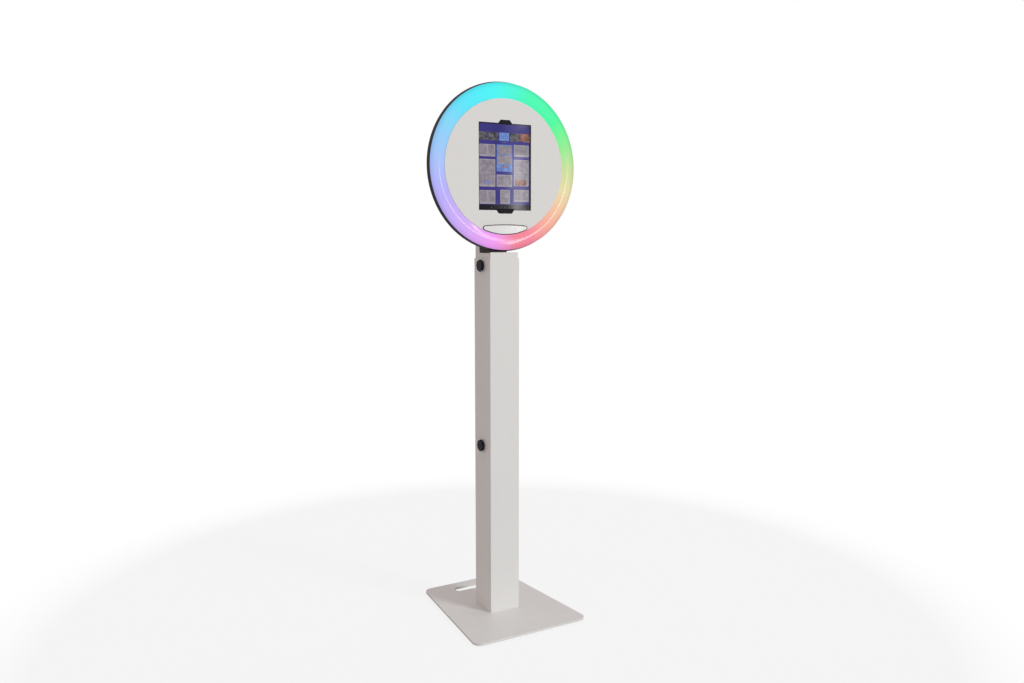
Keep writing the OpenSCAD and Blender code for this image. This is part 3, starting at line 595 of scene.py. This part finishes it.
def panes(card, columns, rows, margin=0.016):
    """The picture spaces on one card, as a grid inside its margins."""
    left, right, top, bottom = card
    gap_x, gap_y = margin, margin * WINDOW_W / WINDOW_H
    w = (right - left - gap_x * (columns + 1)) / columns
    h = (bottom - top - gap_y * (rows + 2)) / rows
    found = []
    for c in range(columns):
        for r in range(rows):
            x, y = left + gap_x + c * (w + gap_x), top + gap_y + r * (h + gap_y)
            found.append((x, x + w, y, y + h))
    return found


# %% [markdown]
# Five small pictures run along the top, and the cards hang below them in three columns of unequal heights.
# A dark bar with three plain marks closes the screen at the bottom.

# %% The gallery
SHEET = (0.018, 0.978, 0.012, 0.935)
THUMB_CENTRES = (0.085, 0.285, 0.49, 0.695, 0.89)
THUMB_HALF = 0.092
thumbs = [(c - THUMB_HALF, c + THUMB_HALF, 0.106, 0.200) for c in THUMB_CENTRES]
grey_cards = [(0.02, 0.32, 0.245, 0.385), (0.02, 0.32, 0.415, 0.73), (0.02, 0.32, 0.77, 0.928),
              (0.345, 0.645, 0.588, 0.727), (0.415, 0.60, 0.762, 0.926),
              (0.675, 0.965, 0.238, 0.374), (0.675, 0.965, 0.41, 0.715), (0.675, 0.965, 0.757, 0.898)]
blue_card = (0.345, 0.645, 0.243, 0.551)
blue_spaces = (0.345, 0.645, 0.243, 0.49)
brown_labels = [(0.70, 0.92, 0.645, 0.708), (0.44, 0.57, 0.490, 0.506), (0.925, 0.955, 0.418, 0.438)]
blue_label = (0.10, 0.26, 0.668, 0.690)
grids = [(2, 1), (1, 2), (2, 1), (2, 1), (1, 2), (1, 1), (1, 2), (2, 1)]
pale = [pane for card, (columns, rows) in zip(grey_cards, grids) for pane in panes(card, columns, rows)]
plates("screen_sheet", [SHEET], 1, 0.4 * MM)
plates("dark_pictures", [thumbs[0], thumbs[1], thumbs[3]], 2)
plates("blue_picture", [thumbs[2], blue_card], 2)
plates("brown_picture", [thumbs[4]] + brown_labels, 4)
plates("blue_label", [blue_label], 4)
plates("cards", grey_cards, 2)
plates("photo_spaces", pale + panes(blue_spaces, 1, 2), 3, 0.6 * MM)
plates("bar_marks", [(c - 0.010, c + 0.010, 0.962, 0.976) for c in (0.25, 0.5, 0.75)], 1, 1.6 * MM)
plates("page_dots", [(c - 0.006, c + 0.006, 0.214, 0.220) for c in (0.46, 0.49, 0.52)], 2, 0.8 * MM)

# %% [markdown]
# Finishes that repeat are shader node groups, made once and placed in each material with its own values.
# The first is the grain that every coated or moulded surface has: fine noise for the bump, and slow noise
# for the faint change of shade from one hand's breadth to the next.

# %% Node helpers and the grain group


def add(tree, kind, **settings):
    node = tree.nodes.new(kind)
    for key, value in settings.items():
        if key in node.inputs:
            node.inputs[key].default_value = value
        else:
            setattr(node, key, value)
    return node


def remap(tree, value, low, high, to_low=0.0, to_high=1.0, **settings):
    """Stretches a socket's values from one range to another, and gives back the new socket."""
    node = add(tree, "ShaderNodeMapRange", **settings)
    for socket, number in zip(("From Min", "From Max", "To Min", "To Max"), (low, high, to_low, to_high)):
        node.inputs[socket].default_value = number
    tree.links.new(value, node.inputs["Value"])
    return node.outputs["Result"]


def times(tree, first, second):
    node = add(tree, "ShaderNodeMath", operation="MULTIPLY")
    tree.links.new(first, node.inputs[0])
    tree.links.new(second, node.inputs[1])
    return node.outputs[0]


def new_group(name, inputs, outputs):
    tree = bpy.data.node_groups.new(name, "ShaderNodeTree")
    for title, default in inputs:
        socket = tree.interface.new_socket(title, in_out="INPUT", socket_type="NodeSocketFloat")
        socket.default_value = default
    for title in outputs:
        tree.interface.new_socket(title, in_out="OUTPUT", socket_type="NodeSocketFloat")
    return tree, add(tree, "NodeGroupInput"), add(tree, "NodeGroupOutput")


grain, given, result = new_group("grain", [("Fine", 900.0), ("Broad", 6.0)], ["Height", "Shade"])
place = add(grain, "ShaderNodeTexCoord")
fine = add(grain, "ShaderNodeTexNoise", Detail=3.0, Roughness=0.55)
broad = add(grain, "ShaderNodeTexNoise", Detail=2.0, Roughness=0.5)
for noise, scale in ((fine, "Fine"), (broad, "Broad")):
    grain.links.new(place.outputs["Object"], noise.inputs["Vector"])
    grain.links.new(given.outputs[scale], noise.inputs["Scale"])
grain.links.new(fine.outputs["Fac"], result.inputs["Height"])
grain.links.new(broad.outputs["Fac"], result.inputs["Shade"])
print("group", grain.name)

# %% [markdown]
# The second is the edge mask, for wear and for painted highlight. The eased parts carry an attribute on
# their bevels, and noise breaks it up, so that the mark comes and goes along an edge. On most finishes it is
# wear, as real handling leaves it; on the white paint and the badge it is a painted highlight.

# %% Edge wear and painted highlight group
edge_wear_and_highlight, given, result = new_group("edge wear", [("Amount", 0.5), ("Size", 60.0)], ["Mask"])
place = add(edge_wear_and_highlight, "ShaderNodeTexCoord")
mark = add(edge_wear_and_highlight, "ShaderNodeAttribute", attribute_name="bevel_mark")
patches = add(edge_wear_and_highlight, "ShaderNodeTexNoise", Detail=4.0, Roughness=0.6)
edge_wear_and_highlight.links.new(place.outputs["Object"], patches.inputs["Vector"])
edge_wear_and_highlight.links.new(given.outputs["Size"], patches.inputs["Scale"])
hardened = remap(edge_wear_and_highlight, patches.outputs["Fac"], 0.42, 0.62)
on_edges = times(edge_wear_and_highlight, hardened, mark.outputs["Fac"])
edge_wear_and_highlight.links.new(times(edge_wear_and_highlight, on_edges, given.outputs["Amount"]), result.inputs["Mask"])
print("group", edge_wear_and_highlight.name)

# %% [markdown]
# The third is dust. It settles only where a surface faces up, so the mask starts from the normal's upward
# share, and noise thins it into drifts.

# %% Dust group
dust, given, result = new_group("dust", [("Amount", 0.3), ("Size", 25.0)], ["Mask"])
place = add(dust, "ShaderNodeTexCoord")
facing = add(dust, "ShaderNodeNewGeometry")
parts_of = add(dust, "ShaderNodeSeparateXYZ")
drift = add(dust, "ShaderNodeTexNoise", Detail=6.0, Roughness=0.65)
dust.links.new(facing.outputs["Normal"], parts_of.inputs["Vector"])
dust.links.new(place.outputs["Object"], drift.inputs["Vector"])
dust.links.new(given.outputs["Size"], drift.inputs["Scale"])
upward = remap(dust, parts_of.outputs["Z"], 0.7, 1.0)
settled = times(dust, upward, remap(dust, drift.outputs["Fac"], 0.4, 0.75))
dust.links.new(times(dust, settled, given.outputs["Amount"]), result.inputs["Mask"])
print("group", dust.name)

# %% [markdown]
# One recipe covers the coated, moulded and metal finishes: a colour that drifts between two close shades, a
# roughness that follows the same drift, a bump from the fine grain, a colour on the edges and dust on top.
# The edge colour is wear on most finishes and a painted highlight on the white ones. Each finish then only
# states what is its own. Values that don't change over the surface go straight onto the Principled BSDF's
# sockets.

# %% The recipe
UNDER, OVER, MIXED = 6, 7, 2
NOISE_LOW, NOISE_HIGH = 0.3, 0.7
DUST = (0.52, 0.50, 0.47, 1.0)
finishes = {}


def shaded(colour, share):
    return tuple(c * share for c in colour[:3]) + (1.0,)


def mix_colours(tree, mask, under, over):
    """Mixes two colours or colour sockets by a mask socket, and gives back the mixed colour socket."""
    node = add(tree, "ShaderNodeMix", data_type="RGBA")
    tree.links.new(mask, node.inputs["Factor"])
    for socket, value in ((node.inputs[UNDER], under), (node.inputs[OVER], over)):
        if isinstance(value, bpy.types.NodeSocket):
            tree.links.new(value, socket)
        else:
            socket.default_value = value
    return node.outputs[MIXED]


def use_group(tree, group, **values):
    node = add(tree, "ShaderNodeGroup")
    node.node_tree = group
    for key, value in values.items():
        node.inputs[key].default_value = value
    return node


def new_material(name):
    material = bpy.data.materials.new(name)
    material.use_nodes = True
    tree = material.node_tree
    return material, tree, tree.nodes["Principled BSDF"]


def spread_roughness(tree, shade, shader, low, high):
    tree.links.new(remap(tree, shade, NOISE_LOW, NOISE_HIGH, low, high), shader.inputs["Roughness"])


def raise_grain(tree, height, shader, strength, depth):
    node = add(tree, "ShaderNodeBump", Strength=strength, Distance=depth)
    tree.links.new(height, node.inputs["Height"])
    tree.links.new(node.outputs["Normal"], shader.inputs["Normal"])


def coated(name, colour, drift, rough, fine, broad, bump, wear_and_highlight=None, wear_and_highlight_amount=0.5, dust_amount=0.0,
           **sockets):
    material, tree, shader = new_material(name)
    skin = use_group(tree, grain, Fine=fine, Broad=broad)
    shade = mix_colours(tree, skin.outputs["Shade"], shaded(colour, 1 - drift), shaded(colour, 1 + drift))
    # The edge colour is wear on most finishes; on the white paint and the badge it is a painted highlight.
    if wear_and_highlight:
        edges = use_group(tree, edge_wear_and_highlight, Amount=wear_and_highlight_amount)
        shade = mix_colours(tree, edges.outputs["Mask"], shade, wear_and_highlight + (1.0,))
    if dust_amount:
        film = use_group(tree, dust, Amount=dust_amount)
        shade = mix_colours(tree, film.outputs["Mask"], shade, DUST)
    tree.links.new(shade, shader.inputs["Base Color"])
    spread_roughness(tree, skin.outputs["Shade"], shader, *rough)
    raise_grain(tree, skin.outputs["Height"], shader, *bump)
    for socket, value in sockets.items():
        shader.inputs[socket.replace("_", " ")].default_value = value
    finishes[name] = material


print("recipe ready, noise between", NOISE_LOW, "and", NOISE_HIGH)

# %% [markdown]
# Powder coat is plastic dust melted onto the metal. The white is a satin one with a slight orange peel, a
# millimetre or so across, and a thin clear gloss over it; its edges are painted lighter, as a painted
# highlight where light catches them. The black is the sandy kind that hides fingers, and its edges are worn.
# The spine cover's black is smooth and painted pale grey: the pale colour is a painted sheen, standing in for
# the room's light reflected off the dark cover.

# %% Powder coats
# The white paint's edge colour is lighter than the paint: a painted highlight along the bevels.
coated("white_paint", (0.800, 0.785, 0.765), 0.02, (0.34, 0.44), 700.0, 4.0, (0.12, 0.15 * MM),
       wear_and_highlight=(0.88, 0.87, 0.86), wear_and_highlight_amount=0.6, dust_amount=0.10, Coat_Weight=0.12, Coat_Roughness=0.25)
coated("black_paint", (0.022, 0.022, 0.026), 0.12, (0.40, 0.52), 1500.0, 9.0, (0.35, 0.12 * MM),
       wear_and_highlight=(0.16, 0.16, 0.17), wear_and_highlight_amount=0.45, dust_amount=0.10)
# Painted sheen: this black's base colour is raised to a pale grey in place of reflected room light.
coated("sheen_painted_black", (0.300, 0.260, 0.290), 0.25, (0.30, 0.45), 1500.0, 30.0, (0.2, 0.10 * MM),
       wear_and_highlight=(0.20, 0.19, 0.20), wear_and_highlight_amount=0.5)
print("powder coats", len(finishes))

# %% [markdown]
# The knobs, buttons and clamp jaws are moulded in a tool that was spark-eroded, which gives a fine even
# matt. Fingers polish the lobes a little, so the roughness drifts. The rubber is dull and catches dust.

# %% Plastics and rubber
coated("knob_plastic", (0.007, 0.008, 0.018), 0.15, (0.30, 0.42), 2600.0, 60.0, (0.25, 0.06 * MM),
       Specular_IOR_Level=0.25)
coated("black_plastic", (0.006, 0.006, 0.011), 0.12, (0.36, 0.50), 2200.0, 30.0, (0.25, 0.06 * MM),
       wear_and_highlight=(0.06, 0.06, 0.07), wear_and_highlight_amount=0.4, Specular_IOR_Level=0.25)
coated("white_plastic", (0.78, 0.78, 0.77), 0.02, (0.35, 0.45), 1800.0, 20.0, (0.12, 0.05 * MM))
coated("nylon", (0.72, 0.70, 0.62), 0.04, (0.40, 0.55), 1200.0, 80.0, (0.15, 0.05 * MM),
       Subsurface_Weight=0.15, Subsurface_Scale=0.002)
coated("rocker_red", (0.45, 0.018, 0.020), 0.08, (0.22, 0.32), 2400.0, 60.0, (0.12, 0.04 * MM),
       wear_and_highlight=(0.55, 0.10, 0.09), wear_and_highlight_amount=0.3)
coated("foot_rubber", (0.020, 0.019, 0.019), 0.2, (0.72, 0.90), 1300.0, 70.0, (0.5, 0.12 * MM),
       dust_amount=0.5)
coated("lead_white", (0.74, 0.74, 0.73), 0.03, (0.35, 0.48), 1600.0, 60.0, (0.15, 0.05 * MM))
coated("lead_black", (0.016, 0.016, 0.017), 0.1, (0.38, 0.50), 1600.0, 60.0, (0.2, 0.05 * MM))
print("finishes", len(finishes))

# %% [markdown]
# Zinc plating grows in crystals, so under a close look it is a mosaic of slightly different greys. Voronoi
# cells give that mosaic. The tablet's shell is aluminium, blasted with fine beads: an even satin.

# %% Metals
zinc, tree, shader = new_material("zinc_steel")
skin = use_group(tree, grain, Fine=1400.0, Broad=40.0)
place = add(tree, "ShaderNodeTexCoord")
crystals = add(tree, "ShaderNodeTexVoronoi", Scale=320.0)
grey = add(tree, "ShaderNodeSeparateColor")
tree.links.new(place.outputs["Object"], crystals.inputs["Vector"])
tree.links.new(crystals.outputs["Color"], grey.inputs["Color"])
shade = mix_colours(tree, grey.outputs["Red"], (0.50, 0.51, 0.53, 1), (0.66, 0.67, 0.69, 1))
edges = use_group(tree, edge_wear_and_highlight, Amount=0.5)
shade = mix_colours(tree, edges.outputs["Mask"], shade, (0.72, 0.72, 0.72, 1))
tree.links.new(shade, shader.inputs["Base Color"])
spread_roughness(tree, skin.outputs["Shade"], shader, 0.24, 0.42)
raise_grain(tree, skin.outputs["Height"], shader, 0.15, 0.05 * MM)
shader.inputs["Metallic"].default_value = 1.0
finishes["zinc_steel"] = zinc
coated("tablet_shell", (0.50, 0.51, 0.53), 0.03, (0.30, 0.38), 3200.0, 12.0, (0.15, 0.03 * MM),
       wear_and_highlight=(0.72, 0.72, 0.73), wear_and_highlight_amount=0.5, Metallic=1.0)
print("finishes", len(finishes))

# %% [markdown]
# The ring's light comes from sixty small lamps, each with its own colour, behind a milky cover. From outside
# only a smooth rainbow is left. The lathe's UV map says how far around each point is, so a colour ramp
# holds the rainbow, and its stops are listed: yellow on the right, green, cyan at the top, blue on the left,
# violet and pink below, and orange back up. The cover glows a little less towards its outer edge, where the
# plastic is seen edge-on. Its lower half, where hands tilt the head, is polished; above it is matt.

# %% The light ring
RAINBOW = (
    (0.000, (0.80, 0.88, 0.60)), (0.028, (0.66, 0.92, 0.57)), (0.056, (0.52, 0.95, 0.55)),
    (0.083, (0.38, 0.98, 0.57)), (0.111, (0.20, 0.99, 0.62)), (0.190, (0.17, 0.99, 0.71)),
    (0.222, (0.17, 0.98, 0.82)), (0.278, (0.16, 0.97, 0.97)), (0.320, (0.20, 0.94, 0.98)),
    (0.361, (0.30, 0.90, 0.99)), (0.400, (0.47, 0.85, 0.99)), (0.500, (0.66, 0.75, 0.99)),
    (0.560, (0.72, 0.68, 0.99)), (0.640, (0.82, 0.67, 0.98)), (0.722, (0.95, 0.60, 0.95)),
    (0.750, (0.96, 0.57, 0.80)), (0.775, (0.96, 0.50, 0.58)), (0.810, (0.97, 0.51, 0.60)),
    (0.860, (0.98, 0.67, 0.60)), (0.917, (0.96, 0.80, 0.63)), (0.950, (0.92, 0.87, 0.66)),
    (1.000, (0.80, 0.88, 0.60)))
GLOW = 0.92
EDGE_FROM = 0.70
POLISH_LOW, POLISH_HIGH = HEAD.z - 30 * MM, HEAD.z + 60 * MM
POLISHED, MATT = 0.09, 0.45


def linear(colour):
    """Turns a display colour into the linear one that shaders use."""
    return tuple(c / 12.92 if c <= 0.04045 else ((c + 0.055) / 1.055) ** 2.4 for c in colour) + (1.0,)


def fill_ramp(node, stops):
    ramp = node.color_ramp
    while len(ramp.elements) > 1:
        ramp.elements.remove(ramp.elements[-1])
    ramp.elements[0].position = stops[0][0]
    ramp.elements[0].color = linear(stops[0][1])
    for position, colour in stops[1:]:
        ramp.elements.new(position).color = linear(colour)


ring, tree, shader = new_material("diffuser")
around = add(tree, "ShaderNodeUVMap", uv_map="around")
split = add(tree, "ShaderNodeSeparateXYZ")
lit = add(tree, "ShaderNodeValToRGB")
fill_ramp(lit, RAINBOW)
tree.links.new(around.outputs["UV"], split.inputs["Vector"])
tree.links.new(split.outputs["X"], lit.inputs["Fac"])
across = remap(tree, split.outputs["Y"], ARCH_SHARE * EDGE_FROM, ARCH_SHARE)
edge_on = add(tree, "ShaderNodeMix", data_type="RGBA", blend_type="MULTIPLY")
edge_on.inputs[OVER].default_value = (0.80, 0.80, 0.86, 1)
tree.links.new(across, edge_on.inputs["Factor"])
tree.links.new(lit.outputs["Color"], edge_on.inputs[UNDER])
tree.links.new(edge_on.outputs[MIXED], shader.inputs["Emission Color"])
milk = mix_colours(tree, across, (0.030, 0.030, 0.034, 1), (0.022, 0.022, 0.026, 1))
tree.links.new(milk, shader.inputs["Base Color"])
skin = use_group(tree, grain, Fine=600.0, Broad=25.0)
raise_grain(tree, skin.outputs["Height"], shader, 0.02, 0.05 * MM)
solid_place = add(tree, "ShaderNodeTexCoord")
level = add(tree, "ShaderNodeSeparateXYZ")
tree.links.new(solid_place.outputs["Object"], level.inputs["Vector"])
polish = remap(tree, level.outputs["Z"], POLISH_LOW, POLISH_HIGH, POLISHED, MATT)
tree.links.new(polish, shader.inputs["Roughness"])
shader.inputs["Specular IOR Level"].default_value = 0.8
shader.inputs["Emission Strength"].default_value = GLOW
finishes["diffuser"] = ring
print("rainbow stops", len(RAINBOW), "glow", GLOW)

# %% [markdown]
# The board under the cover is white lacquer over copper, and the copper's lanes show as faint bands. The
# lamps on it have pale yellow windows. The booth's badge is a plain glossy white plate with a dark edge.

# %% Board, lamps and badge
board, tree, shader = new_material("board")
place = add(tree, "ShaderNodeTexCoord")
lanes = add(tree, "ShaderNodeTexWave", wave_type="RINGS", rings_direction="Y", Scale=60.0, Distortion=0.6)
tree.links.new(place.outputs["Object"], lanes.inputs["Vector"])
shade = mix_colours(tree, lanes.outputs["Fac"], (0.74, 0.75, 0.72, 1), (0.82, 0.82, 0.80, 1))
tree.links.new(shade, shader.inputs["Base Color"])
skin = use_group(tree, grain, Fine=1500.0, Broad=50.0)
spread_roughness(tree, skin.outputs["Shade"], shader, 0.30, 0.42)
raise_grain(tree, lanes.outputs["Fac"], shader, 0.2, 0.03 * MM)
finishes["board"] = board
coated("led_body", (0.80, 0.72, 0.36), 0.10, (0.20, 0.35), 2000.0, 400.0, (0.1, 0.03 * MM))
# The badge's edge colour is lighter than its white: a painted highlight along the bevels.
coated("badge_white", (0.83, 0.83, 0.82), 0.01, (0.18, 0.26), 500.0, 20.0, (0.04, 0.05 * MM),
       wear_and_highlight=(0.90, 0.90, 0.89), wear_and_highlight_amount=0.5, Coat_Weight=0.4, Coat_Roughness=0.08)
coated("badge_edge", (0.055, 0.030, 0.026), 0.10, (0.30, 0.40), 1200.0, 40.0, (0.1, 0.04 * MM),
       wear_and_highlight=(0.20, 0.14, 0.12), wear_and_highlight_amount=0.3)
print("finishes", len(finishes))

# %% [markdown]
# Glass over a dark panel is black with a clear gloss. Fingers leave faint smears, which only show as a
# change of roughness. The lit plates have the same gloss, and glow in their own colours; slow noise makes
# each look like a small picture's light and dark rather than a flat sticker.

# %% Tablet glass and its picture


def glass_gloss(tree, shader):
    skin = use_group(tree, grain, Fine=90.0, Broad=18.0)
    spread_roughness(tree, skin.outputs["Shade"], shader, 0.05, 0.11)
    raise_grain(tree, skin.outputs["Height"], shader, 0.01, 0.1 * MM)
    shader.inputs["Specular IOR Level"].default_value = 0.25
    return skin


def lit_plate(name, dark, light, scale):
    material, tree, shader = new_material(name)
    glass_gloss(tree, shader)
    place = add(tree, "ShaderNodeTexCoord")
    blots = add(tree, "ShaderNodeTexNoise", Scale=scale, Detail=3.0, Roughness=0.6)
    tree.links.new(place.outputs["Object"], blots.inputs["Vector"])
    glow = mix_colours(tree, remap(tree, blots.outputs["Fac"], 0.35, 0.65), linear(dark), linear(light))
    tree.links.new(glow, shader.inputs["Emission Color"])
    shader.inputs["Base Color"].default_value = (0.01, 0.01, 0.012, 1)
    shader.inputs["Emission Strength"].default_value = 1.0
    return material


glass, tree, shader = new_material("tablet_glass")
skin = glass_gloss(tree, shader)
tint = mix_colours(tree, skin.outputs["Shade"], (0.006, 0.006, 0.010, 1), (0.012, 0.012, 0.018, 1))
tree.links.new(tint, shader.inputs["Base Color"])
finishes["tablet_glass"] = glass
own_look = {
    # The spine cover takes the black with the painted sheen.
    "eased_spine_cover": finishes["sheen_painted_black"],
    "screen_sheet": lit_plate("sheet_glow", (0.17, 0.15, 0.44), (0.23, 0.21, 0.53), 9.0),
    "dark_pictures": lit_plate("dark_glow", (0.10, 0.10, 0.13), (0.42, 0.41, 0.42), 150.0),
    "blue_picture": lit_plate("blue_glow", (0.30, 0.42, 0.68), (0.44, 0.56, 0.80), 60.0),
    "blue_label": lit_plate("label_glow", (0.42, 0.44, 0.68), (0.50, 0.50, 0.72), 60.0),
    "brown_picture": lit_plate("brown_glow", (0.30, 0.20, 0.22), (0.66, 0.44, 0.36), 130.0),
    "cards": lit_plate("card_glow", (0.55, 0.52, 0.56), (0.63, 0.60, 0.63), 40.0),
    "photo_spaces": lit_plate("space_glow", (0.46, 0.44, 0.49), (0.58, 0.55, 0.58), 80.0),
    "bar_marks": lit_plate("mark_glow", (0.26, 0.26, 0.30), (0.36, 0.36, 0.40), 60.0),
    "page_dots": lit_plate("dot_glow", (0.46, 0.46, 0.70), (0.56, 0.56, 0.78), 60.0),
}
print("pieces with a look of their own", len(own_look))

# %% [markdown]
# Now every part gets its finish. A part that is only hidden behind a piece gets one too, so that the frame
# is finished all over.

# %% Assign the finishes


def dress(thing, material):
    if thing.material_slots:
        for slot in thing.material_slots:
            slot.material = material
    else:
        thing.data.materials.append(material)


for node, thing in nodes.items():
    dress(thing, finishes[slot_of[node]])
for name, piece in pieces.items():
    piece.data.materials.clear()
    dress(piece, own_look.get(name) or finishes[piece["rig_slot"]])
print("dressed", len(nodes), "parts and", len(pieces), "pieces")

# %% [markdown]
# The stage is a pale floor that melts into a white surround, like a studio sweep, so nothing competes with
# the booth. Near the booth the floor is a matt surface that takes a soft shadow. To the camera it is mixed
# with plain white, as a floor lit for a catalogue picture is, but the light it sends back is the matt one's.

# %% Floor
FLOOR_R = 14.0
FLOOR_DROP = 0.3 * MM
FADE_FROM, FADE_TO = 0.35, 1.6
FLOOR_LIFT = 0.84
circles = [(radius, 0) for radius in (0, 0.6, 1.2, 2.4, 5.0, FLOOR_R)]
floor = to_object(spin(circles, -Z * FLOOR_DROP, X, Y, Z, 64, closed=False), "floor")
paper, tree, shader = new_material("studio_floor")
skin = use_group(tree, grain, Fine=300.0, Broad=2.0)
shade = mix_colours(tree, skin.outputs["Shade"], (0.58, 0.58, 0.58, 1), (0.62, 0.62, 0.62, 1))
tree.links.new(shade, shader.inputs["Base Color"])
shader.inputs["Roughness"].default_value = 0.9
place = add(tree, "ShaderNodeTexCoord")
reach = add(tree, "ShaderNodeVectorMath", operation="LENGTH")
white = add(tree, "ShaderNodeEmission", Strength=1.0)
eye = add(tree, "ShaderNodeLightPath")
cover = add(tree, "ShaderNodeMath", operation="MAXIMUM")
cover.inputs[1].default_value = FLOOR_LIFT
melt = add(tree, "ShaderNodeMixShader")
tree.links.new(place.outputs["Object"], reach.inputs[0])
fade = remap(tree, reach.outputs["Value"], FADE_FROM, FADE_TO, interpolation_type="SMOOTHSTEP")
tree.links.new(fade, cover.inputs[0])
tree.links.new(times(tree, cover.outputs[0], eye.outputs["Is Camera Ray"]), melt.inputs["Fac"])
tree.links.new(shader.outputs["BSDF"], melt.inputs[1])
tree.links.new(white.outputs["Emission"], melt.inputs[2])
tree.links.new(melt.outputs["Shader"], tree.nodes["Material Output"].inputs["Surface"])
floor.data.materials.append(paper)
print("floor radius", FLOOR_R)

# %% [markdown]
# The light is a bright even room with a soft sun from the front right. It makes the front faces the
# lightest and leaves the column's left side in a warm shade. A weak bluish light from above cools what faces
# up. The long thin highlight on the lower half of the light ring is the reflection of tall narrow lamps far
# to the right: an upright one, which also streaks the glass, and a leaning one above it. They are seen only
# in reflections, and the sun is not.

# %% Room and lamps
ROOM = (0.56, 0.49, 0.46, 1.0)
world = bpy.data.worlds.new("room")
bpy.context.scene.world = world
world.use_nodes = True
tree = world.node_tree
seen = tree.nodes["Background"]
seen.inputs["Color"].default_value = (1, 1, 1, 1)
glow = add(tree, "ShaderNodeBackground", Color=ROOM)
eye = add(tree, "ShaderNodeLightPath")
choose = add(tree, "ShaderNodeMixShader")
tree.links.new(eye.outputs["Is Camera Ray"], choose.inputs["Fac"])
tree.links.new(glow.outputs["Background"], choose.inputs[1])
tree.links.new(seen.outputs["Background"], choose.inputs[2])
tree.links.new(choose.outputs["Shader"], tree.nodes["World Output"].inputs["Surface"])


def lamp(name, kind, place, aim, power, lean=0, **shape):
    data = bpy.data.lights.new(name, kind)
    data.energy = power
    for key, value in shape.items():
        setattr(data, key, value)
    light = bpy.data.objects.new(name, data)
    light.location = place
    light.rotation_mode = "QUATERNION"
    facing = (Vector(aim) - Vector(place)).to_track_quat("-Z", "Y")
    light.rotation_quaternion = facing @ Quaternion((0, 0, 1), math.radians(lean))
    bpy.context.scene.collection.objects.link(light)
    return light


sun = lamp("sun", "SUN", (2.25, -4.0, 2.9), (0, 0, 0.9), 1.5, angle=math.radians(14), color=(0.87, 0.97, 1.0))
sun.visible_glossy = False
sky = lamp("sky", "SUN", (0, 0, 4), (0, 0, 0), 0.22, angle=math.radians(60), color=(0.1, 0.5, 1.0))
sky.visible_glossy = False
upright = lamp("upright", "AREA", (4.06, -6.94, 1.12), HEAD, 10, shape="RECTANGLE", size=0.12, size_y=1.94)
leaning = lamp("leaning", "AREA", (4.65, -6.15, 3.20), HEAD, 9, lean=-50, shape="RECTANGLE", size=0.18,
               size_y=2.59)
upright.visible_diffuse = leaning.visible_diffuse = False
bpy.context.scene.view_settings.view_transform = "Standard"
print("room", ROOM)
